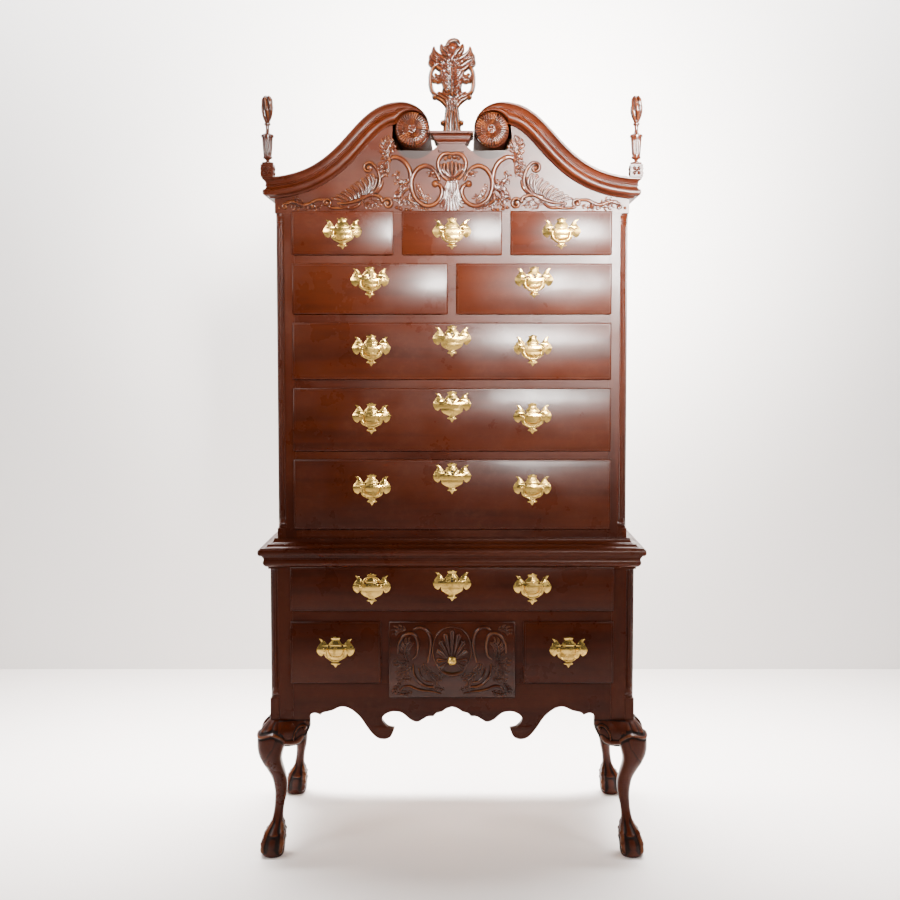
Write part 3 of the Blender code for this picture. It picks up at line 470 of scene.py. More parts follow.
def mahogany(name, grain, dark, middle, light, dull=(0.26, 0.42), coat=0.07):
    """Polished mahogany with its grain along an axis. dull is the range of roughness."""
    material, tree, shader = new_material(
        name, coat_weight=coat, coat_roughness=0.14, specular_ior_level=0.12 if coat else 0.05
    )
    place, figure, polish = wood_parts(tree, grain)
    relief = add(tree, "ShaderNodeAttribute", attribute_name="relief").outputs["Fac"]
    wear_shade = place_group(tree, WEAR_AND_HOLLOW_SHADE, Vector=place, Relief=relief)
    colour = mix(tree, figure["Bands"], (*dark, 1), (*middle, 1))
    colour = mix(tree, maths(tree, "MULTIPLY", figure["Clouds"], 0.55), colour, (*light, 1))
    colour = mix(tree, maths(tree, "MULTIPLY", figure["Pores"], 0.45), colour, (0.012, 0.004, 0.002, 1))
    colour = mix(tree, maths(tree, "MULTIPLY", polish["Haze"], 0.05), colour, (0.20, 0.085, 0.045, 1))
    # Painted shade in the hollows, with some dark wax: the colour goes almost black where the relief is low.
    colour = mix(tree, maths(tree, "MULTIPLY", wear_shade["Shade And Wax"], 0.92), colour, (0.004, 0.0014, 0.0006, 1))
    colour = mix(tree, maths(tree, "MULTIPLY", wear_shade["Worn"], 0.30), colour, (0.23, 0.075, 0.020, 1))
    tree.links.new(colour, shader.inputs["Base Color"])
    rough = between(tree, polish["Dull"], *dull)
    rough = maths(tree, "ADD", rough, maths(tree, "MULTIPLY", wear_shade["Shade And Wax"], 0.25))
    tree.links.new(rough, shader.inputs["Roughness"])
    height = maths(tree, "ADD", maths(tree, "MULTIPLY", figure["Pores"], -0.06), polish["Waves"])
    tree.links.new(bump(tree, height, 0.10, 0.0012), shader.inputs["Normal"])
    return material


RED_BROWN = ((0.024, 0.0038, 0.0010), (0.037, 0.0059, 0.0014), (0.051, 0.0096, 0.0023))
MAHOGANY = {axis: mahogany("mahogany_along_" + axis.lower(), axis, *RED_BROWN) for axis in "XYZ"}
CARVED_BROWN = ((0.025, 0.0046, 0.0015), (0.041, 0.0076, 0.0024), (0.060, 0.0128, 0.0040))
CARVED = mahogany("carved_mahogany", "X", *CARVED_BROWN, dull=(0.17, 0.28), coat=0.40)
CARVED_UPRIGHT = mahogany("carved_mahogany_upright", "Z", *CARVED_BROWN, dull=(0.17, 0.30), coat=0.40)
UNPOLISHED = mahogany("mahogany_unpolished", "Y", *RED_BROWN, dull=(0.66, 0.82), coat=0.0)
print("materials", [material.name for material in MAHOGANY.values()])

# %% [markdown]
# The parts nobody sees are plain pale wood without polish. The brasses are thin cast plates, once bright
# and now mottled with brown and green where the polish was never rubbed off. Behind each keyhole a thin
# black sheet paints the shade in the hole, over the dark iron of the lock.

# %% Secondary wood, brass and the painted shade in the keyholes
def build_brass_skin():
    group, given, result = new_group(
        "brass_skin",
        [("Vector", "NodeSocketVector", None)],
        [("Tarnish", "NodeSocketFloat"), ("Ripple", "NodeSocketFloat")],
    )
    spots = noise(group, given.outputs["Vector"], 55.0, Detail=5.0, Roughness=0.62)
    ripple = noise(group, given.outputs["Vector"], 170.0, Detail=2.0)
    group.links.new(ramp(group, spots, 0.42, 0.72), result.inputs["Tarnish"])
    group.links.new(ripple, result.inputs["Ripple"])
    return group


def brass(name, bright, brown):
    material, tree, shader = new_material(name, metallic=1.0)
    place = add(tree, "ShaderNodeTexCoord").outputs["Object"]
    skin = place_group(tree, BRASS_SKIN, Vector=place)
    colour = mix(tree, maths(tree, "MULTIPLY", skin["Tarnish"], 0.75), (*bright, 1), (*brown, 1))
    tree.links.new(colour, shader.inputs["Base Color"])
    tree.links.new(between(tree, skin["Tarnish"], 0.20, 0.42), shader.inputs["Roughness"])
    tree.links.new(bump(tree, skin["Ripple"], 0.35, 0.0004), shader.inputs["Normal"])
    return material


def plain_wood(name, grain, dark, light):
    material, tree, shader = new_material(name, specular_ior_level=0.3)
    _, figure, polish = wood_parts(tree, grain)
    colour = mix(tree, figure["Bands"], (*dark, 1), (*light, 1))
    colour = mix(tree, maths(tree, "MULTIPLY", figure["Pores"], 0.25), colour, (0.10, 0.05, 0.02, 1))
    colour = mix(tree, maths(tree, "MULTIPLY", polish["Dull"], 0.35), colour, (*dark, 1))
    tree.links.new(colour, shader.inputs["Base Color"])
    tree.links.new(between(tree, polish["Dull"], 0.55, 0.75), shader.inputs["Roughness"])
    tree.links.new(bump(tree, figure["Pores"], 0.25, 0.0006), shader.inputs["Normal"])
    return material


BRASS_SKIN = build_brass_skin()
BRASS = brass("aged_brass", (0.70, 0.46, 0.12), (0.26, 0.155, 0.035))
PINE_BROWN = ((0.26, 0.14, 0.06), (0.42, 0.25, 0.11))
PINE = {axis: plain_wood("drawer_wood_along_" + axis.lower(), axis, *PINE_BROWN) for axis in "XYZ"}
# The keyhole sheets' black paints the shade in each keyhole, over the dark iron of the lock.
KEYHOLE_SHADE_AND_IRON = new_material("keyhole_shade_and_iron", base_color=(0.010, 0.008, 0.007, 1), roughness=0.6, metallic=0.4)[0]
print("materials", BRASS.name, [material.name for material in PINE.values()], KEYHOLE_SHADE_AND_IRON.name)

# %% [markdown]
# Each finished piece gets its material, its plank number and the body it moves with, and the parts of the
# frame that it stands for are hidden.

# %% Handing a piece over
planks = np.random.default_rng(7)


def paint(obj, name, values):
    """Writes one number for each point of the mesh as an attribute that materials can read."""
    attribute = obj.data.attributes.get(name) or obj.data.attributes.new(name, "FLOAT", "POINT")
    attribute.data.foreach_set("value", np.asarray(values, np.float32).ravel())


def hand_over(obj, material, body="root", stands_for=(), plank=None):
    obj.data.materials.clear()
    obj.data.materials.append(material)
    number = planks.uniform(0, 40) if plank is None else plank
    paint(obj, "plank", np.full(len(obj.data.vertices), number))
    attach(obj, body)
    if stands_for:
        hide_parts(*stands_for)
    return obj


print("ready to hand pieces over")

# %% [markdown]
# ## Camera, floor and light
#
# The chest stands on a pale floor before a pale wall, and is seen from the front at about chest height.
# A small window on the right, close to the camera, makes the sheen on the upper right drawers. A soft
# light from each side fills the rest, one overhead lights the floor, and one lights only the wall. The
# wall is clear from behind, so that the back of the chest can be looked at too.

# %% The camera
camera_data = bpy.data.cameras.new("front_view")
camera_data.lens = 48.3
camera_data.sensor_width = 36
camera_data.shift_x = -0.0133
camera_data.shift_y = -0.0316
camera = bpy.data.objects.new("front_view", camera_data)
camera.location = (0.029, -3.758, 1.488)
camera.rotation_euler = (radians(86.7), 0, 0)
bpy.context.collection.objects.link(camera)
bpy.context.scene.camera = camera
print("camera at", tuple(camera.location))

# %% The floor and the wall
def stage_material(name, colour, roughness, one_sided=False):
    material, tree, shader = new_material(name, roughness=roughness, specular_ior_level=0.2)
    place = add(tree, "ShaderNodeTexCoord").outputs["Object"]
    clouds = noise(tree, place, 0.8, Detail=3.0)
    dim = tuple(channel * 0.94 for channel in colour)
    tree.links.new(mix(tree, clouds, (*colour, 1), (*dim, 1)), shader.inputs["Base Color"])
    if one_sided:
        back = add(tree, "ShaderNodeNewGeometry").outputs["Backfacing"]
        clear = add(tree, "ShaderNodeBsdfTransparent").outputs[0]
        either = add(
            tree, "ShaderNodeMixShader", sockets={0: back, 1: shader.outputs[0], 2: clear}
        ).outputs[0]
        tree.links.new(either, tree.nodes["Material Output"].inputs["Surface"])
    return material


WALL_DISTANCE = 1.84
STAGE_SIZE = 14
floor_middle = WALL_DISTANCE - STAGE_SIZE / 2
bpy.ops.mesh.primitive_plane_add(size=STAGE_SIZE, location=(0, floor_middle, 0))
floor = bpy.context.object
floor.name = "floor"
floor.data.materials.append(stage_material("floor_paper", (0.95, 0.875, 0.835), 0.55))
wall_middle = STAGE_SIZE / 2 - 0.1
bpy.ops.mesh.primitive_plane_add(
    size=STAGE_SIZE, location=(0, WALL_DISTANCE, wall_middle), rotation=(pi / 2, 0, 0)
)
wall = bpy.context.object
wall.name = "wall"
wall.data.materials.append(stage_material("wall_paper", (0.93, 0.90, 0.88), 0.9, one_sided=True))
print("floor and wall ready")

# %% The lights
def soft_light(name, place, target, size, power, colour=(1, 1, 1), spread=180):
    light = bpy.data.lights.new(name, "AREA")
    light.spread = radians(spread)
    light.shape = "RECTANGLE"
    light.size, light.size_y = size
    light.energy = power
    light.color = colour
    lamp = bpy.data.objects.new(name, light)
    lamp.location = place
    lamp.rotation_euler = (Vector(target) - Vector(place)).to_track_quat("-Z", "Y").to_euler()
    bpy.context.collection.objects.link(lamp)
    return lamp


soft_light("right_window", (1.3, -4.0, 2.5), (0.55, 0, 2.25), (1.4, 1.2), 110, (1.0, 0.955, 0.91), 30)
soft_light("left_window", (-2.7, -2.1, 2.7), (-0.1, 0, 1.9), (1.0, 1.6), 50, (1.0, 0.97, 0.94), 110)
soft_light("right_fill", (2.7, -2.1, 2.5), (0.1, 0, 1.8), (1.0, 1.6), 36, (1.0, 0.97, 0.94), 110)
soft_light("overhead", (0, 0.75, 4.4), (0, 0.6, 0), (3.8, 1.0), 120, spread=40)
soft_light("wall_light", (0, 0.5, 4.4), (0, 1.84, 1.2), (5.0, 0.8), 520)
world = bpy.data.worlds.new("studio")
world.use_nodes = True
world.node_tree.nodes["Background"].inputs["Color"].default_value = (0.92, 0.95, 1.0, 1)
world.node_tree.nodes["Background"].inputs["Strength"].default_value = 0.10
bpy.context.scene.world = world

# %% [markdown]
# ## Boards that are right as they are
#
# The case sides, rails and partitions are plain planed boards, and the frame's own solids already have
# their shape. They only need wood with the grain running the right way: up and down on the sides and
# backs, across on the rails.

# %% Wood for the frame's own boards
FRAME_WOOD = {
    "Z": ("upper_side_left", "upper_side_right", "lower_side_left", "lower_side_right"),
    "X": (
        "partition_1_2", "partition_2_3", "partition_3_4", "partition_4_5", "upper_bottom",
        "lower_partition",
    ),
}
for axis, names in FRAME_WOOD.items():
    for name in names:
        node = frame["nodes"][name]
        node.data.materials.clear()
        node.data.materials.append(MAHOGANY[axis])
for name in ("upper_back", "lower_back", "lower_bottom"):
    node = frame["nodes"][name]
    node.data.materials.clear()
    node.data.materials.append(PINE["X"])
print("frame boards painted")

# %% [markdown]
# ## Drawer fronts
#
# Each drawer front laps over its opening with a lip all round. The lip is worked with a thumb-moulding
# plane: a quarter round that rises from the edge and ends in a small step up to the flat field. It could
# be a bevel, but a plane leaves a true profile, so here the front face of a board is inset again and
# again, and each inset also moves it forwards by as much as the quarter round rises there.

# %% A thumb-moulded drawer front
MOULD_WIDTH = 5.5 * MM
MOULD_RISE = 3.6 * MM
STEP = 1.3 * MM


def mould_edge(obj):
    """Works a thumb mould round the front face of a board in edit mode."""
    front = min(vertex.co.y for vertex in obj.data.vertices)
    edit(obj)
    pick_faces(obj, lambda middle, normal: normal.y < -0.9 and middle.y < front + 0.01 * MM)
    turn_before = 0.0
    for turn in (22, 45, 67, 90):
        inward = MOULD_WIDTH * (cos(radians(turn_before)) - cos(radians(turn)))
        rise = MOULD_RISE * (sin(radians(turn)) - sin(radians(turn_before)))
        bpy.ops.mesh.inset(thickness=inward, depth=rise)
        turn_before = turn
    bpy.ops.mesh.inset(thickness=0.3 * MM, depth=STEP)
    bpy.ops.mesh.inset(thickness=0.5 * MM, depth=0.2 * MM)
    leave_edit()


def drawer_front(name, low, high, face):
    """The moulded front between two corners, whose field ends at the face plane."""
    mould_back = face + MOULD_RISE + STEP + 0.2 * MM
    front = board(name, (low.x, mould_back, low.z), (high.x, face + LIP_PROUD - GAP, high.z), ease=0)
    mould_edge(front)
    return smooth(front, 40)

# %% [markdown]
# Behind the lip the front is cut back to fit the opening. The box is thinner pale wood: two sides, a back
# and a bottom. The sides join the front with half-blind dovetails, which show as pale wedges let into the
# ends of the dark front once the drawer is open.

# %% The box behind a drawer front
BOTTOM_BOARD = 9 * MM
TAIL_LENGTH = 10 * MM
TAIL_SHEET = 0.4 * MM
FRONT_THICK = 20 * MM
SIDE_DROP = 12 * MM


def dovetails(name, x, start, low, high):
    """Wedges of the side board that show in the end of the front, widest at their tips."""
    count = max(2, round((high - low) / (42 * MM)))
    pitch = (high - low) / count
    wedges = []
    for i in range(count):
        middle = low + pitch * (i + 0.5)
        corners = [
            (start, middle - 0.30 * pitch), (start, middle + 0.30 * pitch),
            (start + TAIL_LENGTH, middle + 0.20 * pitch), (start + TAIL_LENGTH, middle - 0.20 * pitch),
        ]
        wedge = cut_out(f"{name}_{i}", [corners], 0, TAIL_SHEET)
        wedge.rotation_euler.z = pi / 2
        settle(wedge)
        wedge.location.x = x + TAIL_SHEET / 2
        wedges.append(settle(wedge))
    return wedges


def drawer_box(name, low, high, case_front):
    """Front body, sides, back and bottom of a drawer, between the low and high corners of its box."""
    face = case_front - LIP_PROUD
    inside = face + FRONT_THICK
    side_top = high.z - SIDE_DROP
    body = board(f"{name}_front_body", (low.x, case_front - 2 * GAP, low.z), (high.x, inside, high.z), 0)
    parts = [
        board(f"{name}_side", (left, inside - 1 * MM, low.z), (right, high.y, side_top), 0.6 * MM)
        for left, right in ((low.x, low.x + DRAWER_WALL), (high.x - DRAWER_WALL, high.x))
    ]
    parts += [
        board(
            f"{name}_back", (low.x + DRAWER_WALL, high.y - DRAWER_WALL, low.z + 4 * MM),
            (high.x - DRAWER_WALL, high.y, side_top), 0.6 * MM,
        ),
        board(
            f"{name}_bottom", (low.x + 2 * MM, inside, low.z + 1 * MM),
            (high.x - 2 * MM, high.y - 2 * MM, low.z + BOTTOM_BOARD), 0,
        ),
    ]
    tail_z = low.z + 3 * MM, side_top - 2 * MM
    for x in (low.x - TAIL_SHEET, high.x):
        parts += dovetails(f"{name}_tail", x, inside - TAIL_LENGTH, *tail_z)
    return body, join(f"{name}_box", parts)

# %% Make the twelve drawers
DRAWERS = [name for name in frame["nodes"] if name.endswith("drawer") or name.startswith("drawer_")]
faces = {}
for name in sorted(DRAWERS):
    low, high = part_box(name)
    upper = low.z > LOWER_TOP
    case_front = UPPER_FRONT if upper else LOWER_FRONT
    faces[name] = case_front - LIP_PROUD
    box_low = Vector((low.x + LIP + 1.5 * MM, 0, low.z))
    box_high = Vector((high.x - LIP - 1.5 * MM, high.y, high.z - LIP - 1.5 * MM))
    number = planks.uniform(0, 40)
    body, box = drawer_box(name, box_low, box_high, case_front)
    hand_over(body, MAHOGANY["X"], name, plank=number)
    hand_over(box, PINE["Y"], name)
    if name != "shell_drawer":
        front = drawer_front(f"{name}_front", low, high, faces[name])
        hand_over(front, MAHOGANY["X"], name, (name,), plank=number)
print("drawers:", len(DRAWERS))

# %% [markdown]
# ## Brasses
#
# The pulls are thin cast plates in a bat-wing outline with two small pierced eyes, a bail that hangs from
# two posts, and a matching plate with a keyhole where the drawer locks. One plate is drawn as half an
# outline, a run of smooth curves between sharp points, then mirrored, filled, thickened and eased. Copies
# go to every drawer.

# %% The bat-wing plate
PLATE_RUNS = (
    ((0, 38.5), (5, 37.6), (9, 35.0), (14, 34.6)),
    ((14, 34.6), (12.6, 31.5), (10.6, 28.7), (12.4, 25), (16, 21), (20.0, 16.2)),
    ((20.0, 16.2), (22.0, 13.0), (25, 16), (33, 26), (39, 31.0), (48.6, 32)),
    ((48.6, 32), (44.6, 28), (42.6, 22), (49, 13), (54, 4.6), (55.5, -1), (54, -7), (50, -14), (42, -19.4)),
    ((42, -19.4), (37.5, -17), (34.5, -12), (32.5, -12.5)),
    ((32.5, -12.5), (31, -20), (25.5, -25.6), (16, -31), (10, -33.5), (8, -36.5)),
    ((8, -36.5), (10.5, -38.5), (14.5, -41.5)),
    ((14.5, -41.5), (10.5, -44.0), (6, -45), (3.5, -48.5), (0, -53.5)),
)
EYE = (19.6, 10.2, 2.9)


def plate_outline():
    half = []
    for run in PLATE_RUNS:
        half += smooth_run(run, 5)[:-1]
    half.append(PLATE_RUNS[-1][-1])
    whole = half + [(-x, z) for x, z in reversed(half[1:-1])]
    return [(x * MM, z * MM) for x, z in whole]


def circle(x, z, radius, count=20):
    turns = [2 * pi * i / count for i in range(count)]
    return [(x + radius * cos(turn), z + radius * sin(turn)) for turn in turns]


def keyhole(z, size):
    """A round hole over a slot that widens downwards."""
    top = [(size * sin(turn), z + size * cos(turn)) for turn in np.linspace(radians(-150), radians(150), 13)]
    return top + [(0.62 * size, z - 3.2 * size), (-0.62 * size, z - 3.2 * size)]


PLATE_THICK = 1.6 * MM
KEYHOLE_Z = 13 * MM
KEYHOLE_SIZE = 3.3 * MM
eyes = [circle(side * EYE[0] * MM, EYE[1] * MM, EYE[2] * MM) for side in (-1, 1)]
plain_plate = cut_out("plain_plate", [plate_outline(), *eyes], -PLATE_THICK, 0, ease=0.5 * MM)
key_plate = cut_out(
    "key_plate", [plate_outline(), *eyes, keyhole(KEYHOLE_Z, KEYHOLE_SIZE)], -PLATE_THICK, 0, ease=0.5 * MM
)
# A thin black sheet behind the keyhole: painted shade in the hole, over the lock's iron.
keyhole_shade_sheet = cut_out("keyhole_shade_sheet", [keyhole(KEYHOLE_Z, KEYHOLE_SIZE + 0.8 * MM)], -0.25 * MM, 0)
for plate in (plain_plate, key_plate):
    smooth(plate, 50)
print("plate points:", len(plain_plate.data.vertices))

# %% [markdown]
# A post is a small turning: a washer on the plate, a waist, and a ball that the pin of the bail goes
# into. It is drawn as half a section and spun round its axis. The bail is a rod that swells to its
# middle, so it is a curve with a radius at each point, bent to a wide U with two elbows.

# %% Posts, bails and the knob
def spun(name, profile, steps=24):
    """A turning: (radius, height) pairs spun round the axis that points forwards, towards -Y."""
    mesh = bpy.data.meshes.new(name)
    mesh.from_pydata(
        [(radius, -height, 0) for radius, height in profile],
        [(i, i + 1) for i in range(len(profile) - 1)],
        [],
    )
    obj = bpy.data.objects.new(name, mesh)
    bpy.context.collection.objects.link(obj)
    edit(obj, "VERT")
    bpy.ops.mesh.select_all(action="SELECT")
    bpy.ops.mesh.spin(steps=steps, angle=2 * pi, center=(0, 0, 0), axis=(0, 1, 0))
    weld(0.01 * MM)
    face_outwards()
    leave_edit()
    return smooth(obj, 40)


POST_PROFILE = (
    (0, 0), (5.4, 0), (5.6, 0.9), (4.6, 1.7), (2.9, 2.2), (2.5, 4.6), (2.9, 6.6), (3.9, 7.6),
    (4.5, 9.6), (4.6, 11.6), (4.2, 13.8), (3.0, 15.6), (1.4, 16.4), (0, 16.5),
)
post = spun("post", [(radius * MM, height * MM) for radius, height in POST_PROFILE], 16)


def make_bail():
    half = [(34.8, 0.0), (30.0, 0.0), (26.8, -0.3), (25.2, -2.6), (25.6, -7.0), (25.8, -12.0), (23.4, -19.0),
            (18.2, -25.0), (10.0, -29.6), (3.6, -30.6)]
    swell = [1.5, 1.5, 1.7, 1.8, 1.7, 1.8, 1.95, 2.1, 2.3, 2.5]
    points = [(x, z, r) for (x, z), r in zip(half, swell)]
    points += [(-x, z, r) for x, z, r in reversed(points)]
    curve = bpy.data.curves.new("bail", "CURVE")
    curve.dimensions = "3D"
    curve.bevel_depth = MM
    curve.bevel_resolution = 3
    curve.resolution_u = 4
    curve.use_fill_caps = True
    spline = curve.splines.new("BEZIER")
    spline.bezier_points.add(len(points) - 1)
    for point, (x, z, radius) in zip(spline.bezier_points, points):
        point.co = (x * MM, 0, z * MM)
        point.radius = radius
        point.handle_left_type = point.handle_right_type = "AUTO"
    obj = bpy.data.objects.new("bail", curve)
    bpy.context.collection.objects.link(obj)
    only(obj)
    bpy.ops.object.convert(target="MESH")
    edit(obj, "VERT")
    weld(0.01 * MM)
    leave_edit()
    return smooth(obj, 60)


bail = make_bail()
KNOB_PROFILE = (
    (0, 0), (9.5, 0), (10.2, 0.8), (9.6, 2.0), (7.0, 2.8), (5.8, 5.0), (6.0, 8.0), (8.8, 10.2), (12.6, 12.6),
    (13.5, 15.4), (12.9, 18.2), (11.2, 19.6), (10.4, 19.2), (9.6, 19.9), (7.6, 21.6), (4.6, 22.4),
    (3.9, 21.9), (3.0, 22.8), (1.6, 23.7), (0, 23.9),
)
knob = spun("knob", [(radius * MM, height * MM) for radius, height in KNOB_PROFILE], 32)
low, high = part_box("shell_drawer_knob")
knob.location = ((low.x + high.x) / 2, high.y, (low.z + high.z) / 2)
settle(knob)
knob.name = "shell_drawer_knob_turned"
hand_over(knob, BRASS, "shell_drawer", ("shell_drawer_knob",))
print("post, bail and knob ready")

# %% [markdown]
# The bails of the frame tell where the pulls are. The drawer of a pull is the one whose front lies behind
# it. One bail, on the long lower drawer, has been left standing up, as the frame has it.

# %% Hang the brasses on the drawers
RAISED_BAIL = "bail_6_left"
RAISED_LEAN = radians(6)
PIN_RADIUS = 1.9 * MM


def drawer_behind(x, z):
    for name in DRAWERS:
        low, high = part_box(name)
        if low.x < x < high.x and low.z < z < high.z:
            return name
    raise ValueError("no drawer behind this pull")


for name in sorted(frame["nodes"]):
    if not name.startswith("bail_"):
        continue
    low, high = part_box(name)
    middle_x = (low.x + high.x) / 2
    drawer_name = drawer_behind(middle_x, (low.z + high.z) / 2)
    raised = name == RAISED_BAIL
    pivot_z = low.z + PIN_RADIUS if raised else high.z - PIN_RADIUS
    face = faces[drawer_name]
    with_key = name.startswith("bail_2")
    plate = move_copy(key_plate if with_key else plain_plate, f"plate_{name[5:]}", (middle_x, face, pivot_z))
    hand_over(plate, BRASS, drawer_name)
    if with_key:
        # The black sheet in the keyhole paints the shade of the hole.
        shaded_keyhole = move_copy(keyhole_shade_sheet, f"lock_{name[5:]}", (middle_x, face, pivot_z))
        hand_over(shaded_keyhole, KEYHOLE_SHADE_AND_IRON, drawer_name)
    posts = [
        move_copy(post, f"posts_{name[5:]}", (middle_x + side * POST_SPACING / 2, face, pivot_z))
        for side in (-1, 1)
    ]
    hand_over(join(f"posts_{name[5:]}", posts), BRASS, drawer_name)
    handle = move_copy(bail, f"{name}_cast", (0, 0, 0))
    if raised:
        handle.rotation_euler.x = pi - RAISED_LEAN
    settle(handle)
    handle.location = (middle_x, face - PIVOT_OUT, pivot_z)
    settle(handle)
    hand_over(handle, BRASS, name, (name,))

PLATE_TOP = 38.5 * MM
for name, drop in (("drawer_3", 7 * MM), ("drawer_4", 8 * MM), ("drawer_5", 9 * MM), ("drawer_6", 8 * MM)):
    low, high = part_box(name)
    place = (0, faces[name], high.z - drop - PLATE_TOP)
    hand_over(move_copy(key_plate, f"escutcheon_{name}", place), BRASS, name)
    # The black sheet in the keyhole paints the shade of the hole.
    hand_over(move_copy(keyhole_shade_sheet, f"lock_{name}", place), KEYHOLE_SHADE_AND_IRON, name)
for pattern in (plain_plate, key_plate, keyhole_shade_sheet, post, bail):
    bpy.data.objects.remove(pattern, do_unlink=True)
print("bails and plates hung")

# %% [markdown]
# ## Mouldings
#
# A moulding is one section carried along a line. Cabinet makers cut it with planes, a round here and a
# hollow there, and mitre it at the corners. In Blender the section could be a bevel object on a curve,
# but then a mitre is hard to control. Here the rings of points are placed by rule: one ring for each
# corner of a straight run, and one for each step of a curved run.

# %% Sections made of straight, round and hollow parts
def arc_part(start, end, bulge, count=6):
    """Points from start to end along an arc. bulge is the height of the arc as a share of the chord."""
    start, end = Vector(start), Vector(end)
    chord = end - start
    across = Vector((-chord.y, chord.x))
    points = []
    for i in range(count + 1):
        t = i / count
        points.append(tuple(start + chord * t + across * bulge * 4 * t * (1 - t)))
    return points


def section(*parts):
    """Joins parts into one line, leaving out the doubled points."""
    points = []
    for part in parts:
        for point in part:
            if not points or (Vector(point) - Vector(points[-1])).length > 1e-6:
                points.append(tuple(point))
    return points


def run_moulding(name, rings):
    """A closed moulding through rings of points."""
    rings = np.array(rings)
    closed = np.concatenate([rings, rings[:, :1]], axis=1)
    return smooth(sheet(name, closed, close=True), 30)

# %% [markdown]
# The waist moulding covers the joint between the cases. From below, a fillet and a hollow lead out to a
# round nose, and above it an ogee and a second hollow lead back to the narrower upper case. It is made
# of three lengths with mitred ends, so that the grain follows each length.

# %% The waist moulding
waist_low, waist_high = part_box("waist_moulding")
NOSE = waist_high.x - LOWER_HALF
STEP_IN = LOWER_HALF - UPPER_HALF
WAIST_LOW, WAIST_HIGH = waist_low.z, waist_high.z
nose_z = LOWER_TOP + 20 * MM
WAIST_SECTION = section(
    [(0.3 * MM, WAIST_LOW), (2.5 * MM, WAIST_LOW), (2.5 * MM, WAIST_LOW + 5 * MM)],
    arc_part((4 * MM, WAIST_LOW + 6 * MM), (13 * MM, LOWER_TOP - 2 * MM), -0.28),
    [(15 * MM, LOWER_TOP - 1.5 * MM), (15 * MM, LOWER_TOP + 2.5 * MM)],
    arc_part((17 * MM, LOWER_TOP + 3.5 * MM), (NOSE - 3 * MM, LOWER_TOP + 9.5 * MM), 0.22),
    [(NOSE - 3 * MM, nose_z - 9 * MM)],
    arc_part((NOSE - 1.2 * MM, nose_z - 8.6 * MM), (NOSE - 1.2 * MM, nose_z + 7.4 * MM), -0.13, 8),
    [(NOSE - 5.5 * MM, nose_z + 8.0 * MM), (NOSE - 5.5 * MM, nose_z + 10.5 * MM)],
    arc_part((NOSE - 6.5 * MM, nose_z + 11 * MM), (4 * MM, nose_z + 17.5 * MM), 0.20, 8),
    [(4 * MM, nose_z + 20 * MM)],
    arc_part((3 * MM, nose_z + 20.5 * MM), (-13 * MM, WAIST_HIGH - 3 * MM), 0.22, 8),
    [(-14 * MM, WAIST_HIGH - 3 * MM), (-14 * MM, WAIST_HIGH), (GAP - STEP_IN, WAIST_HIGH)],
    [(GAP - STEP_IN, LOWER_TOP + GAP), (0.3 * MM, LOWER_TOP + GAP)],
)


def waist_ring(side, y, turn):
    return [(side * (LOWER_HALF + out), y - turn * out, z) for out, z in WAIST_SECTION]


for side, where in ((-1, "left"), (1, "right")):
    length = run_moulding(
        f"waist_moulding_{where}", [waist_ring(side, BACK, 0), waist_ring(side, LOWER_FRONT, 1)],
    )
    hand_over(length, MAHOGANY["Y"])
length = run_moulding("waist_moulding_front", [waist_ring(-1, LOWER_FRONT, 1), waist_ring(1, LOWER_FRONT, 1)])
rail_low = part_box("drawer_6")[1].z - LIP + 0.6 * MM
rail_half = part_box("drawer_6")[1].x - LIP - GAP
rail = board(
    "lower_top_rail", (-rail_half, LOWER_FRONT, rail_low), (rail_half, UPPER_FRONT - 2 * GAP, LOWER_TOP)
)
hand_over(length, MAHOGANY["X"], stands_for=("waist_moulding",))
hand_over(rail, MAHOGANY["X"])
print("waist section has", len(WAIST_SECTION), "points")

# %% [markdown]
# ## The pediment
#
# The swan necks rise from the corners in a long S to a crest and then curl down to a rosette. Their top
# edge is one line of two curves. It is read again here, finer than in the frame, because the moulding,
# the roof of the bonnet and the upper edge of the carved board all follow it.

# %% The line of the swan neck
cornice_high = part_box("cornice_right")[1]
CORNICE_OUT = cornice_high.x - UPPER_HALF
CREST_Z = cornice_high.z
CREST_RISE = 213 * MM
CORNICE_Z = CREST_Z - CREST_RISE
CORNICE_DEEP = 58 * MM
rosette_low, rosette_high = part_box("rosette_right")
ROSETTE_X = (rosette_low.x + rosette_high.x) / 2
ROSETTE_Z = (rosette_low.z + rosette_high.z) / 2
ROSETTE_RADIUS = 48 * MM
SCROLL_RADIUS = 50 * MM
ROOF_BOARD = 10 * MM
CREST_X = 146 * MM


def crest_line(steps=36):
    """The top edge of the right-hand neck, from the corner over the crest to the tip of the scroll."""
    start = Vector((UPPER_HALF + CORNICE_OUT - GAP, CORNICE_Z))
    crest = Vector((CREST_X, CREST_Z))
    tip = Vector((ROSETTE_X - SCROLL_RADIUS, ROSETTE_Z))
    span = start.x - crest.x
    rise = interpolate_bezier(
        start, start - Vector((span * 0.62, 0)), crest + Vector((span * 0.39, 0)), crest, steps,
    )
    round_x, round_z = 0.552 * (crest.x - tip.x), 0.552 * (crest.y - tip.y)
    fall = interpolate_bezier(
        crest, crest - Vector((round_x, 0)), tip + Vector((0, round_z)), tip, steps // 2,
    )
    return [point for point in list(rise) + list(fall)[1:] if point.x < UPPER_HALF - 4 * MM]


def normals_of(points):
    """Unit normals of a run of points, pointing to the inside of the pediment."""
    normals = []
    for i in range(len(points)):
        along = (points[min(i + 1, len(points) - 1)] - points[max(i - 1, 0)]).normalized()
        normals.append(Vector((-along.y, along.x)))
    return normals


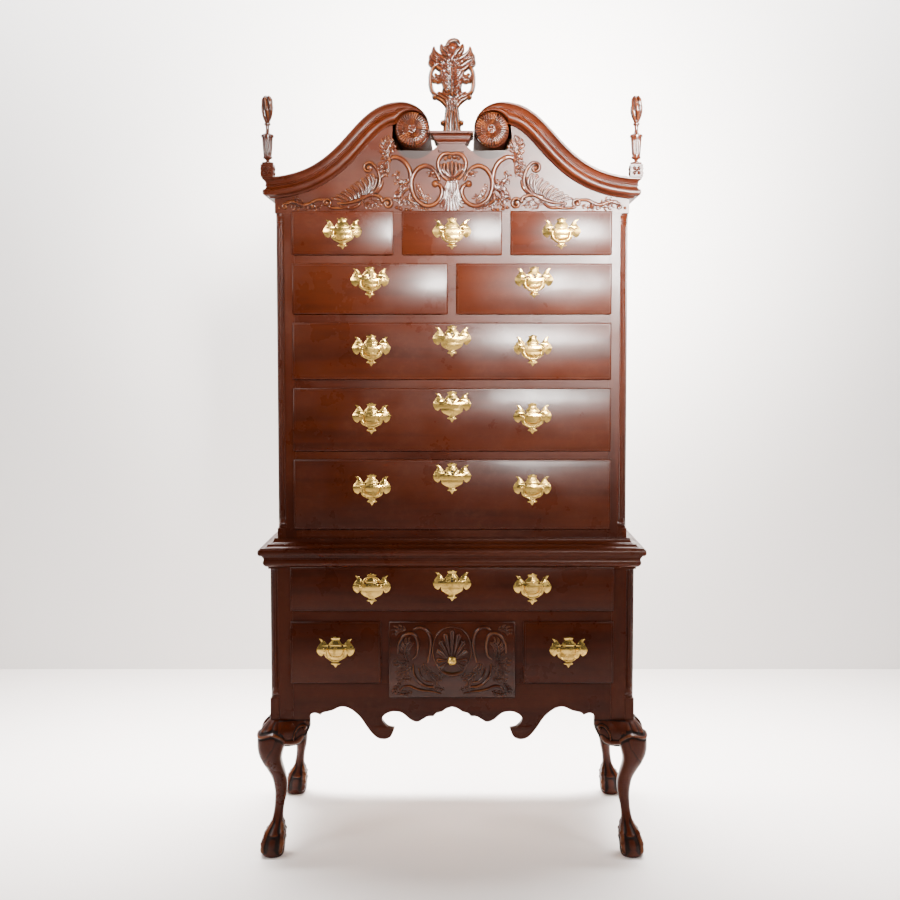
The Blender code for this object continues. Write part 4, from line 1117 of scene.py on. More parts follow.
CREST = [Vector((UPPER_HALF - GAP, CORNICE_Z)), *crest_line()]
CREST_NORMALS = normals_of(CREST)
CREST_NORMALS[0] = Vector((0, -1))
print("crest line has", len(CREST), "points")

# %% [markdown]
# The neck moulding has a fillet at the top, a hollow below it, a fine bead, and then a broad round that
# stands as far out as the fillet. On the front it meets the rosette, so its width is cut short where the
# circle of the rosette lies in its way. The length along the side is straight.

# %% The swan-neck mouldings
NECK_SECTION = section(
    [(0, 0), (0, 0.92), (0.02, 0.96), (0.09, 0.96), (0.11, 0.92)],
    arc_part((0.12, 0.90), (0.34, 0.66), -0.16, 6),
    [(0.36, 0.70)],
    arc_part((0.37, 0.71), (0.42, 0.71), 0.3, 3),
    [(0.44, 0.64)],
    arc_part((0.46, 0.64), (0.60, 0.86), -0.14, 4),
    arc_part((0.62, 0.90), (0.86, 0.86), 0.20, 7),
    [(0.88, 0.74), (0.90, 0.70)],
    arc_part((0.91, 0.66), (0.985, 0.34), -0.18, 5),
    [(1.0, 0.32), (1.0, 0.0)],
)


def clear_of_rosette(point, normal, width):
    centre = Vector((ROSETTE_X, ROSETTE_Z))
    clear = ROSETTE_RADIUS + 1.2 * MM
    offset = point - centre
    along = offset.dot(normal)
    miss = offset.length_squared - along * along
    if miss >= clear * clear or along > 0:
        return width
    return max(min(width, -along - sqrt(clear * clear - miss)), 0.6 * MM)


def neck_moulding(side, where):
    corner = [
        (
            side * (UPPER_HALF + GAP + out * CORNICE_OUT * 0.985),
            UPPER_FRONT - GAP - out * CORNICE_OUT * 0.985,
            CORNICE_Z - down * CORNICE_DEEP,
        )
        for down, out in NECK_SECTION
    ]
    behind = [(x, BACK, z) for x, _, z in corner]
    front = [corner]
    for point, normal in zip(CREST, CREST_NORMALS):
        width = clear_of_rosette(point, normal, CORNICE_DEEP)
        ring = []
        for down, out in NECK_SECTION:
            place = point + normal * down * width
            ring.append((side * place.x, UPPER_FRONT - GAP - out * CORNICE_OUT * 0.985, place.y))
        front.append(ring)
    return run_moulding(f"cornice_side_{where}", [behind, corner]), run_moulding(f"swan_neck_{where}", front)


for side, where in ((-1, "left"), (1, "right")):
    along_side, neck = neck_moulding(side, where)
    hand_over(along_side, MAHOGANY["Y"])
    hand_over(neck, MAHOGANY["X"], stands_for=(f"cornice_{where}",))
print("neck section has", len(NECK_SECTION), "points")

# %% [markdown]
# The bonnet closes the pediment from above: two curved roofs that end in solid scrolls, a board behind
# them and a ceiling over the drawers. The carved board in front has a round opening under each rosette
# and a neck in the middle, which carries a small stepped plinth.

# %% The bonnet
bonnet_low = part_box("bonnet")[0]
CEILING_HALF = UPPER_HALF - SIDE_BOARD - GAP
UNDER_ROOF = [
    point + normal * ROOF_BOARD
    for point, normal in zip(CREST, CREST_NORMALS)
    if CREST_X < point.x + normal.x * ROOF_BOARD < UPPER_HALF
]


def roof_outline(side):
    scroll = [
        (ROSETTE_X - SCROLL_RADIUS * cos(radians(turn)), ROSETTE_Z - SCROLL_RADIUS * sin(radians(turn)))
        for turn in range(8, 241, 8)
    ]
    under = [(point.x, point.y) for point in UNDER_ROOF] + [(CREST_X, CREST_Z - ROOF_BOARD)]
    points = [(point.x, point.y) for point in CREST] + scroll + under[::-1]
    return [(side * x, z) for x, z in points]


for side, where in ((-1, "left"), (1, "right")):
    roof = cut_out(f"bonnet_roof_{where}", [roof_outline(side)], UPPER_FRONT, BACK)
    hand_over(smooth(roof, 30), UNPOLISHED)
gap_low = ROSETTE_Z - SCROLL_RADIUS - 20 * MM
half = [(0, gap_low), (ROSETTE_X - 30 * MM, gap_low), (ROSETTE_X, ROSETTE_Z), (CREST_X, CREST_Z - 5 * MM)]
half += [(point.x, point.y + 4 * MM) for point in UNDER_ROOF[::-1]]
half += [(CEILING_HALF, CORNICE_Z - 12 * MM), (CEILING_HALF, bonnet_low.z)]
outline = half + [(-x, z) for x, z in reversed(half[1:])]
bonnet_back = cut_out("bonnet_back", [outline], BACK - 12 * MM, BACK - 3 * MM)
hand_over(bonnet_back, PINE["X"])
ceiling = board(
    "bonnet_ceiling", (-CEILING_HALF, UPPER_FRONT + FRONT_BOARD + GAP, bonnet_low.z),
    (CEILING_HALF, BACK - 13 * MM, bonnet_low.z + 12 * MM),
)
hand_over(ceiling, PINE["X"], stands_for=("bonnet",))
print("bonnet ready")

# %% The scroll board and its plinth
NOTCH_X, NOTCH_Z, NOTCH_RADIUS = 108 * MM, CREST_Z - 92 * MM, 65 * MM
NECK_HALF = 37 * MM
CAP = 34 * MM
PLINTH_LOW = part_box("cartouche_finial")[0].z - GAP - CAP
notch = [
    (NOTCH_X + NOTCH_RADIUS * cos(turn), NOTCH_Z + NOTCH_RADIUS * sin(turn))
    for turn in np.linspace(radians(222), radians(375), 40)
]
under = [
    (point.x, point.y)
    for point in (p + n * (ROOF_BOARD + 2 * GAP) for p, n in zip(CREST, CREST_NORMALS))
    if notch[-1][0] + 4 * MM < point.x < UPPER_HALF
]
rim = [(notch[-1][0], max(min(z for x, z in under if x < notch[-1][0] + 60 * MM), notch[-1][1] + 2 * MM))]
half = [(0, PLINTH_LOW), (NECK_HALF, PLINTH_LOW), *notch, *rim, *under[::-1]]
half += [(UPPER_HALF, CORNICE_Z - ROOF_BOARD - 2 * GAP), (UPPER_HALF, BOARD_BOTTOM)]
outline = half + [(-x, z) for x, z in reversed(half[1:])]
scroll_board = cut_out("scroll_board_sawn", [outline], UPPER_FRONT, UPPER_FRONT + FRONT_BOARD)
hand_over(smooth(scroll_board, 30), MAHOGANY["X"], stands_for=("scroll_board",))

CAP_HALF = ROSETTE_X - SCROLL_RADIUS - 1.2 * MM
FINIAL_Y = UPPER_FRONT + 30 * MM
PLINTH_SECTION = section(
    [(0.60, -0.62), (0.60, 0.02), (0.66, 0.04), (0.66, 0.16)],
    arc_part((0.68, 0.18), (0.80, 0.46), -0.18, 5),
    [(0.84, 0.48), (0.84, 0.60)],
    arc_part((0.86, 0.62), (0.97, 0.80), 0.16, 5),
    [(1.0, 0.82), (1.0, 1.0)],
)
plinth_rings = []
for share, height in PLINTH_SECTION:
    reach, z = share * CAP_HALF, PLINTH_LOW + height * CAP
    corners = ((-1, -1), (1, -1), (1, 1), (-1, 1))
    plinth_rings.append([(dx * reach, FINIAL_Y + dy * reach, z) for dx, dy in corners])
plinth = run_moulding("finial_plinth", plinth_rings)
hand_over(plinth, MAHOGANY["X"])
print("scroll board outline has", len(outline), "points")

# %% [markdown]
# ## Corner columns
#
# Each front corner is cut out and filled with a quarter of a fluted column, with a turned base and
# capital and, below it, a plain block. Turners made four of them at once by gluing up a square with
# paper in the joints, turning it and splitting it. Here a quarter circle is carried up through rings
# whose radius follows the turned profile, and the flutes are hollows that fade out at their ends.

# %% Quarter columns
QUARTER = np.linspace(0, pi / 2, 61)
FLUTES = 4
COLUMN_BLOCK = {"upper": 84 * MM, "lower": 64 * MM}
# In millimetres: height above the block or drop from the top, radius over the block's, depth of the flutes.
COLUMN_BASE = (
    (0, 0, 0), (5, 0, 0), (6, -2.6, 0), (9, -2.6, 0), (10, -0.8, 0), (12, -0.2, 0), (14, -0.8, 0),
    (15, -2.2, 0), (20, -3.4, 0), (26, -3.2, 0), (28, -3.2, 1.2), (32, -3.2, 2.6),
)
COLUMN_CAPITAL = (
    (40, -3.6, 2.6), (36, -3.6, 1.2), (34, -3.6, 0), (29, -3.6, 0), (28, -1.6, 0), (26, -1.2, 0),
    (24, -1.6, 0), (23, -3.2, 0), (16, -3.2, 0), (12, -2.4, 0), (8, -0.8, 0), (7, 0, 0), (0.1, 0, 0),
)


def quarter_ring(centre, side, radius, flute, z):
    """A quarter ring bulging outwards and forwards, with hollows as deep as flute."""
    phase = (QUARTER / (pi / 2) * FLUTES) % 1.0
    hollow = np.clip(1 - ((phase - 0.5) / 0.36) ** 2, 0, 1) ** 0.5
    reach = radius - flute * hollow
    x = centre[0] + side * reach * np.sin(QUARTER)
    y = centre[1] - reach * np.cos(QUARTER)
    ring = np.stack([x, y, np.full_like(x, z)], axis=1)
    middle = np.array([[centre[0], centre[1], z]])
    return np.concatenate([middle, ring, middle])


def column(name, side, half, front, low, block_top, top):
    size = COLUMN - GAP
    centre = side * (half - size), front + size
    stations = [
        (block_top + rise * MM, size + radius * MM, flute * MM) for rise, radius, flute in COLUMN_BASE
    ]
    stations += [(top - drop * MM, size + radius * MM, flute * MM) for drop, radius, flute in COLUMN_CAPITAL]
    rings = [quarter_ring(centre, side, radius, flute, z) for z, radius, flute in stations]
    shaft = smooth(sheet(name, np.array(rings), close=True), 30)
    corners = sorted((side * (half - size), side * half))
    block = board(f"{name}_block", (corners[0], front, low), (corners[1], front + size, block_top), 0.6 * MM)
    return join(name, [shaft, block])


for side, where in ((-1, "left"), (1, "right")):
    for level, half, front in (("upper", UPPER_HALF, UPPER_FRONT), ("lower", LOWER_HALF, LOWER_FRONT)):
        node = f"{level}_quarter_column_{where}"
        low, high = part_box(node)
        block_top = low.z + COLUMN_BLOCK[level]
        fluted = column(f"{node}_fluted", side, half, front, low.z, block_top, high.z)
        hand_over(fluted, MAHOGANY["Z"], stands_for=(node,))
print("columns ready")

# %% [markdown]
# ## The apron
#
# Under the drawers hangs the apron, a board whose lower edge was sawn in scrolls: two hooks that curl
# outwards, small points between flat curves and a rise in the middle. It is drawn as runs of smooth curve
# between sharp points, mirrored, and given its thickness.

# %% The apron
apron_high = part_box("apron")[1]
APRON_RUNS = (
    ((0.418, 0.0), (0.417, 0.014), (0.404, 0.020), (0.387, 0.014)),
    ((0.387, 0.014), (0.379, 0.021), (0.354, 0.027), (0.328, 0.038), (0.302, 0.033), (0.272, 0.009),
     (0.245, -0.030), (0.223, -0.053), (0.201, -0.059), (0.181, -0.051), (0.170, -0.027)),
    ((0.170, -0.027), (0.190, -0.022), (0.206, -0.002), (0.199, 0.014), (0.176, 0.024), (0.148, 0.020),
     (0.123, 0.000), (0.103, -0.007), (0.086, 0.001), (0.072, 0.009), (0.055, 0.010)),
    ((0.055, 0.010), (0.046, 0.019), (0.030, 0.024), (0.016, 0.033), (0.0, 0.038)),
)
edge = []
for run in APRON_RUNS:
    edge += smooth_run(run, 6)[:-1]
edge = [(x, CASE_BOTTOM + rise) for x, rise in edge] + [(0.0, CASE_BOTTOM + APRON_RUNS[-1][-1][1])]
sill = apron_high.z
shell_low, shell_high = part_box("shell_drawer")
shell_half = shell_high.x - LIP
step_z = shell_low.z - 1.5 * MM
half = [(apron_high.x, CASE_BOTTOM), *edge]
outline = half + [(-x, z) for x, z in reversed(half[:-1])]
outline += [(-apron_high.x, sill), (-shell_half, sill), (-shell_half, step_z), (shell_half, step_z)]
outline += [(shell_half, sill), (apron_high.x, sill)]
apron = cut_out("apron_sawn", [outline], LOWER_FRONT, LOWER_FRONT + FRONT_BOARD, ease=0.8 * MM)
hand_over(smooth(apron, 40), MAHOGANY["X"], stands_for=("apron",))
print("apron outline has", len(outline), "points")

# %% [markdown]
# ## Carving
#
# The leaves and scrolls over the top drawers were glued on or carved from the board with a few gouges. A
# carver thinks in strokes: a rolled stem, a leaf lobe hollowed down its middle, a round bud. So this
# carving is made of strokes on a fine grid. Each stroke follows a smooth path and has a width, a height
# and a cross-section, and where strokes overlap, the higher one shows and the seam stays crisp. Below the
# board's face the grid goes on a little way down, so that every outline is the clean line where the
# carving comes out of the wood.

# %% A grid that takes strokes
SECTIONS = {
    "roll": lambda t: 1 - t**2.2,
    "lobe": lambda t: (1 - t**3) * (0.62 + 0.75 * t**2) - 0.30 * np.exp(-((t / 0.16) ** 2)),
    "gouge": lambda t: (1 - t**4) * (0.45 + 0.8 * t**2),
    "ridge": lambda t: 1 - t**1.15,
}


def blurred(height, rounds):
    for _ in range(rounds):
        padded = np.pad(height, 1, mode="edge")
        height = (padded[:-2, 1:-1] + padded[2:, 1:-1] + padded[1:-1, :-2] + padded[1:-1, 2:] + height) / 5
    return height


class Relief:
    """Heights over a flat field, in millimetres, from which strokes rise."""

    def __init__(self, left, right, low, high, pitch, ground=-2.0, boldness=1.0):
        self.x = np.linspace(left, right, round((right - left) / pitch) + 1)
        self.z = np.linspace(low, high, round((high - low) / pitch) + 1)
        self.height = np.full((len(self.z), len(self.x)), float(ground))
        self.boldness = boldness

    def stroke(self, knots, widths, heights, cut="roll", base=0.0):
        """A stroke along a smooth path. widths are half widths, given at even steps like heights."""
        path = np.array(smooth_run(knots, 6))
        steps = np.linspace(0, 1, len(path))
        width = np.interp(steps, np.linspace(0, 1, len(widths)), widths) * self.boldness
        height = np.interp(steps, np.linspace(0, 1, len(heights)), heights)
        fine = np.linspace(0, 1, max(len(path) * 2, 16))
        path = np.stack([np.interp(fine, steps, path[:, 0]), np.interp(fine, steps, path[:, 1])], axis=1)
        width, height = np.interp(fine, steps, width), np.interp(fine, steps, height)
        reach = width.max() * 1.25
        columns = np.flatnonzero((self.x > path[:, 0].min() - reach) & (self.x < path[:, 0].max() + reach))
        rows = np.flatnonzero((self.z > path[:, 1].min() - reach) & (self.z < path[:, 1].max() + reach))
        if not len(columns) or not len(rows):
            return self
        window = np.ix_(rows, columns)
        dx = self.x[columns][None, :, None] - path[:, 0]
        dz = self.z[rows][:, None, None] - path[:, 1]
        share = np.sqrt(dx * dx + dz * dz) / width
        nearest = share.argmin(axis=2)
        share = np.take_along_axis(share, nearest[..., None], axis=2)[..., 0]
        top = height[nearest]
        inside = SECTIONS[cut](np.minimum(share, 1.0)) * top + base
        outside = base - (share - 1) * 9.0
        self.height[window] = np.maximum(self.height[window], np.where(share < 1, inside, outside))
        return self

    def bud(self, x, z, radius, height, base=0.0):
        return self.stroke([(x - 0.01, z), (x + 0.01, z)], [radius], [height], "roll", base)

    def mirror(self):
        """Takes the higher of each point and the one across the middle line."""
        self.height = np.maximum(self.height, self.height[:, ::-1])
        return self


print("sections", sorted(SECTIONS))

# %% [markdown]
# An acanthus leaf is a stem with lobes that leave it at a slant and curl towards its tip. They are
# longest in the middle of the leaf. A scroll is a stem that winds in and ends in a round eye.

# %% Leaves and scrolls
STEM_SHARE = 0.13


def leaf(relief, spine, reach, lobes, height, sides=(-1, 1), lean=0.75, fat=0.50):
    path = np.array(smooth_run(spine, 10))
    along = np.gradient(path, axis=0)
    along /= np.linalg.norm(along, axis=1)[:, None]
    for i in range(lobes):
        share = (i + 0.35) / lobes
        at = min(int(share * len(path)), len(path) - 1)
        length = reach * sin(pi * (0.16 + 0.74 * share)) ** 0.8
        width = fat * length * 0.52
        for side in sides:
            out = side * np.array([-along[at][1], along[at][0]])
            knots = [
                path[at],
                path[at] + length * (0.52 * out + 0.30 * lean * along[at]),
                path[at] + length * (0.86 * out + 0.90 * lean * along[at]),
                path[at] + length * (0.80 * out + 1.35 * lean * along[at]),
            ]
            relief.stroke(
                knots, [width * 0.7, width, width * 0.9, width * 0.35],
                [height * 0.7, height, height * 0.9, height * 0.5], "lobe",
            )
    thick = reach * STEM_SHARE
    relief.stroke(
        spine, [thick * 1.2, thick, thick * 0.5], [height * 1.1, height * 1.15, height * 0.7], "roll",
    )
    return relief


def scroll(relief, centre, start, radius, turns, width, height, hand=1, lead=()):
    """A volute: a rolled stem that follows its lead and then winds round a centre into an eye."""
    count = max(int(turns * 8), 5)
    knots = list(lead)
    for i in range(count + 1):
        t = i / count
        turn = radians(start) + hand * 2 * pi * turns * t
        r = radius * (1 - 0.72 * t)
        knots.append((centre[0] + r * cos(turn), centre[1] + r * sin(turn)))
    relief.stroke(knots, [width, width, width * 0.9, width * 0.6], [height, height, height * 1.1], "roll")
    relief.bud(centre[0], centre[1], radius * 0.42, height * 1.35)
    return relief

# %% [markdown]
# The whole panel is symmetrical, so only its left half is drawn, in millimetres from the middle line and
# from the foot of the board. The middle is a pear-shaped frame over a sheaf of flutes, with a big ring on
# each side. Beyond the rings an arch, a long feathered leaf and a tendril run out to the corner.

# %% Draw the left half of the pediment carving
def pediment_relief():
    panel = Relief(-508, 508, 1.5, 222, 1.5, boldness=1.16)
    stroke, bud = panel.stroke, panel.bud
    # the pear-shaped frame, its two beads at the top and the gadroons inside
    stroke([(0, 168), (-13, 171), (-28, 166), (-38, 152), (-40, 136), (-34, 117), (-22, 101), (-8, 93)],
           [5.2, 5.6, 5.2, 4.4], [6.5, 7.5, 7, 5])
    for x, z, r in ((-7, 160, 5.6), (-19, 156, 5.0)):
        bud(x, z, r, 9)
    for foot, waist, head in ((0, 0, 0), (-5, -12, -11), (-8, -22, -22), (-11, -29, -31)):
        stroke(
            [(foot * 0.7, 103), (waist, 122), (head, 146 - abs(head) * 0.3)], [2.2, 5.4, 4.2], [5, 8.5, 6],
            "roll",
        )
    for x in (0, -8):
        bud(x, 97, 4.2, 7.5)
    # the sheaf of flutes under it
    for top, middle, foot, low in (
        (0, 0, 0, 6), (-5, -6, -10, 8), (-9, -11, -20, 12), (-13, -16, -30, 20), (-15, -20, -38, 31),
    ):
        stroke(
            [(top, 90), (middle * 0.9, 62), (middle * 1.15, 38), (foot, low)], [3.2, 4.4, 5.0, 4.6],
            [6.5, 8, 7, 5], "lobe",
        )
    # the ring, its bud, the ball at its inner end and the leaves inside
    ring = [(-36, 96), (-44, 112), (-60, 130), (-80, 135), (-101, 124), (-115, 100), (-117, 76), (-110, 50),
            (-94, 30), (-72, 21), (-50, 26), (-34, 42), (-28, 62), (-34, 78), (-45, 84)]
    stroke(ring, [4.4, 6.2, 6.6, 6.2, 6.0, 5.0], [6, 8, 8.5, 8, 7.5, 7])
    bud(-48, 84, 9.2, 12)
    leaf(panel, [(-42, 106), (-56, 112), (-66, 121)], 11, 3, 6.5)
    bud(-57, 115, 7.0, 9)
    leaf(panel, [(-70, 34), (-88, 44), (-100, 62), (-104, 84)], 15, 5, 6.5, sides=(-1,), lean=0.5)
    leaf(panel, [(-96, 44), (-84, 40), (-72, 42), (-62, 50)], 11, 3, 6.0, sides=(1, -1), lean=0.6)
    # the arch over the ring and its sprig
    stroke([(-184, 150), (-172, 159), (-156, 159), (-138, 148), (-125, 130), (-119, 108), (-120, 88),
            (-128, 70)],
           [4.0, 6.0, 6.6, 6.0, 4.6], [5, 7.5, 8, 7.5, 5])
    leaf(panel, [(-122, 92), (-134, 84), (-148, 82), (-158, 90)], 15, 4, 6.5, lean=0.6)
    leaf(panel, [(-150, 118), (-158, 112), (-163, 102), (-160, 92)], 10, 3, 6.5)
    leaf(panel, [(-124, 70), (-136, 62), (-144, 50), (-142, 38)], 19, 5, 7, sides=(-1,), lean=0.7)
    stroke([(-116, 64), (-124, 44), (-112, 30), (-96, 24)], [3, 5, 4.4, 3], [5, 7, 6, 4])
    leaf(panel, [(-100, 24), (-88, 15), (-74, 11), (-58, 12)], 11, 4, 5.5, lean=0.9)
    # the low volute with its stem, and the spray beside it
    scroll(
        panel, (-186, 27), 160, 16, 1.3, 4.6, 8, hand=-1,
        lead=[(-262, 40), (-244, 49), (-222, 51), (-205, 44)],
    )
    leaf(panel, [(-170, 40), (-156, 42), (-146, 34), (-140, 20)], 14, 4, 7.5, lean=0.7)
    leaf(panel, [(-140, 40), (-126, 38), (-114, 28), (-108, 14)], 13, 4, 7, lean=0.7)
    for x, z in ((-160, 16), (-148, 12), (-132, 10), (-120, 9)):
        bud(x, z, 5.0, 7.5)
    # the leaf cluster that hangs from the arch and the spray beside the rosette
    leaf(panel, [(-180, 158), (-192, 146), (-197, 126), (-194, 104)], 17, 6, 8, lean=0.55)
    bud(-181, 152, 6.0, 10)
    bud(-190, 130, 5.0, 9.5)
    leaf(panel, [(-188, 162), (-194, 180), (-190, 200), (-178, 214)], 16, 6, 7.5, lean=0.7)
    leaf(panel, [(-182, 160), (-178, 176), (-172, 190), (-164, 196)], 10, 4, 7, lean=0.7)
    # the stem that climbs to a volute, and the long feathered leaf below it
    scroll(panel, (-240, 129), 20, 18, 1.1, 4.8, 8.5, hand=1,
           lead=[(-262, 46), (-236, 52), (-216, 68), (-208, 92), (-212, 116)])
    stroke([(-218, 58), (-206, 74), (-200, 92)], [4, 5, 3], [5, 7, 5])
    barbs = (
        ((-232, 62), (-230, 108)), ((-238, 56), (-243, 106)), ((-246, 50), (-258, 96)),
        ((-256, 45), (-274, 86)), ((-266, 42), (-289, 76)), ((-276, 38), (-303, 67)),
        ((-288, 35), (-317, 58)), ((-300, 33), (-331, 50)), ((-314, 31), (-345, 42)),
    )
    for i, (foot, tip) in enumerate(barbs):
        long = 1 - 0.05 * i
        bend = ((foot[0] + tip[0]) / 2 + 7, (foot[1] + tip[1]) / 2 + 1)
        hook = (tip[0] - 6 * long, tip[1] - 3)
        stroke(
            [foot, bend, tip, hook], [4.6 * long, 7.0 * long, 5.2 * long, 2.6 * long],
            [6.5, 9.5 * long, 9.0 * long, 5], "lobe",
        )
    stroke(
        [(-330, 28), (-300, 29), (-270, 37), (-240, 52), (-222, 76), (-217, 100)], [3, 4.4, 5, 4.6, 3.2],
        [5, 7.5, 8.5, 8, 6],
    )
    leaf(panel, [(-262, 34), (-250, 26), (-238, 22), (-224, 22)], 11, 4, 6.5, lean=0.9)
    leaf(panel, [(-240, 40), (-226, 36), (-214, 28), (-208, 16)], 10, 3, 6.0, lean=0.8)
    # the tendril that runs out to the corner
    stroke([(-330, 26), (-318, 19), (-300, 15), (-282, 17), (-268, 26)], [2.6, 4.2, 4.4, 4], [4, 6.5, 6.5, 5])
    scroll(panel, (-362, 29), -60, 13, 1.2, 4.0, 7.5, hand=1, lead=[(-300, 18), (-322, 14), (-344, 15)])
    stroke([(-372, 38), (-392, 37), (-410, 28), (-430, 24), (-452, 31), (-472, 33), (-486, 24)],
           [3.6, 5.0, 4.6, 4.6, 4.4, 3.4], [5, 6.5, 6, 6, 5.5, 4])
    leaf(panel, [(-376, 22), (-392, 16), (-408, 14), (-424, 16)], 10, 4, 6, lean=0.8)
    bud(-404, 20, 6.2, 9)
    leaf(panel, [(-424, 20), (-440, 16), (-454, 17), (-468, 22)], 9, 4, 5.5, lean=0.8)
    leaf(panel, [(-430, 30), (-446, 38), (-462, 40)], 8, 3, 5.0, lean=0.8)
    scroll(panel, (-482, 19), 60, 9, 1.0, 3.4, 6, hand=1, lead=[(-466, 31)])
    bud(-500, 15, 4.0, 5)
    return panel.mirror()


carving = pediment_relief()
print("carving grid", carving.height.shape, "highest", round(float(carving.height.max()), 1), "mm")

# %% [markdown]
# The grid becomes a mesh. Faces that lie wholly under the board's face are deleted, and the rim that is
# left is pushed back into the board and filled, so that the carving is a closed solid. The height of each
# point above the blurred surface around it is kept as an attribute: where it is negative, the material
# paints shade into the hollow, with some dark wax, and where it is high, the polish has been rubbed through.

# %% Turn a relief into carved wood
def carve(name, relief, face, foot, keep=None, back=2.5 * MM, depth=2.0):
    """A carving that stands out from a plane towards -Y. keep limits it to x between two values in mm."""
    columns = np.ones(len(relief.x), bool) if keep is None else (relief.x >= keep[0]) & (relief.x <= keep[1])
    height = relief.height[:, columns]
    x, z = np.meshgrid(relief.x[columns] * MM, foot + relief.z * MM)
    smoothed = blurred(np.maximum(relief.height, 0), 14)[:, columns]
    points = np.stack([x, face - height * MM, z], axis=2)
    grid = sheet(name, points)
    # Negative relief paints shade, with some dark wax, into the hollows; high relief reads as rubbed polish.
    paint(grid, "relief", np.clip((np.maximum(height, 0) - smoothed) / depth, -1, 1))
    edit(grid)
    pick_faces(grid, lambda middle, normal: middle.y > face + 1.4 * MM)
    bpy.ops.mesh.delete(type="FACE")
    bpy.ops.mesh.select_mode(type="EDGE")
    bpy.ops.mesh.select_all(action="DESELECT")
    bpy.ops.mesh.select_non_manifold()
    bpy.ops.mesh.extrude_region_move(TRANSFORM_OT_translate={"value": (0, back, 0)})
    bpy.ops.transform.resize(value=(1, 0, 1), center_override=(0, face + back, 0))
    bpy.ops.mesh.fill(use_beauty=False)
    face_outwards()
    leave_edit()
    return smooth(grid, 75)


for where, limits in (("left", (-520, 0.8)), ("right", (-0.8, 520))):
    carved = carve(f"pediment_carving_{where}", carving, UPPER_FRONT, BOARD_BOTTOM, limits)
    hand_over(carved, CARVED, plank=3.0)
    print(carved.name, len(carved.data.polygons), "faces")

# %% [markdown]
# ## The shell drawer
#
# The middle drawer under the waist is the show piece: a scallop shell in a hollow ring, between big
# C-scrolls, with leaves in the corners. The front was carved from one board and keeps a plain narrow
# border. It is the same moulded front as the others with a shallow relief over its whole field.

# %% Carve the shell drawer
def shell_relief(half, height):
    """The left half in millimetres from the middle line and down from the top edge, then mirrored."""
    panel = Relief(-half, half, -height, 0, 1.0, ground=-1.2, boldness=1.12)
    knob_drop = 111

    def stroke(knots, widths, heights, cut="roll", base=0.0):
        panel.stroke([(x, -drop) for x, drop in knots], widths, heights, cut, base)

    # the shell: lobes that fan out from the knob, each with a scalloped end
    for i in range(6):
        turn = radians(i * 22.5)
        reach = 84 - 5.0 * i
        end = (-reach * sin(turn) * 0.62, knob_drop - 4 - reach * cos(turn))
        start = (-12 * sin(turn), knob_drop - 14 * cos(turn) - 3)
        middle = ((start[0] + end[0]) / 2, (start[1] + end[1]) / 2)
        stroke([start, middle, end], [1.6, 4.4, 7.2], [1.6, 4.6, 6.6], "lobe")
    # the hollow ring round it and the crescent under the knob
    stroke([(0, 7), (-24, 13), (-46, 34), (-56, 66), (-54, 98), (-43, 124)], [2.6] * 4, [2.8, 3.2, 3.4, 2.6])
    stroke([(0, 150), (-20, 146), (-36, 134), (-44, 120)], [6.6, 6.2, 4.6, 2.6], [5.2, 5.0, 4.2, 2.4])
    # the C-scroll beside the shell, its inner ribs and the leaves at its foot
    stroke([(-112, 16), (-98, 9), (-80, 13), (-66, 30), (-62, 56), (-66, 86), (-72, 112)],
           [3.4, 4.8, 4.8, 4.2, 3.2], [4.2, 5.6, 5.2, 4.4, 3.0])
    stroke(
        [(-114, 120), (-112, 146), (-98, 170), (-76, 184), (-54, 186)], [3.0, 4.8, 5.0, 4.2],
        [3.2, 5.6, 5.6, 4.2],
    )
    stroke([(-98, 132), (-92, 152), (-78, 168), (-60, 172)], [2.4, 3.4, 3.4, 2.6], [2.6, 4.0, 4.0, 3.0])
    leaf(panel, [(-64, -146), (-55, -159), (-40, -172)], 15, 4, 4.2)
    leaf(panel, [(-30, -160), (-29, -152), (-22, -144)], 10, 4, 4.2)
    leaf(panel, [(-84, -118), (-80, -130), (-70, -142)], 13, 4, 4.2)
    # the tall leaf scroll further out and the leaves in the corners
    stroke([(-158, 84), (-156, 56), (-142, 34), (-122, 26), (-106, 36), (-100, 60), (-104, 90), (-116, 104)],
           [3.0, 4.6, 5.0, 5.0, 4.2, 3.0], [3.4, 5.0, 5.2, 4.8, 3.4])
    leaf(panel, [(-132, -104), (-138, -84), (-134, -62), (-122, -50)], 17, 6, 4.4)
    leaf(panel, [(-136, -16), (-150, -13), (-163, -18), (-168, -30)], 12, 5, 4.0)
    leaf(panel, [(-128, -112), (-142, -118), (-156, -116), (-166, -104)], 13, 5, 4.0)
    leaf(panel, [(-120, -126), (-134, -138), (-150, -142), (-162, -136)], 13, 5, 3.8)
    stroke([(-34, 206), (-58, 200), (-84, 197), (-104, 192), (-124, 184), (-142, 186), (-152, 198)],
           [2.6, 4.0, 4.2, 4.2, 3.2], [2.8, 4.6, 4.8, 4.8, 3.4])
    leaf(panel, [(-118, -200), (-134, -206), (-150, -206), (-166, -200)], 11, 5, 4.2)
    leaf(panel, [(-152, -176), (-160, -186), (-166, -196), (-168, -206)], 10, 4, 4.0)
    leaf(panel, [(-120, -160), (-134, -164), (-148, -162), (-160, -168)], 11, 4, 3.8)
    leaf(panel, [(-24, -196), (-36, -190), (-52, -190), (-66, -196)], 9, 4, 3.4)
    panel.mirror()
    # a flat seat for the knob's plate
    x, z = np.meshgrid(panel.x, panel.z)
    seat = np.hypot(x, z + knob_drop) < 13.5
    panel.height[seat] = np.minimum(panel.height[seat], 0.4)
    return panel


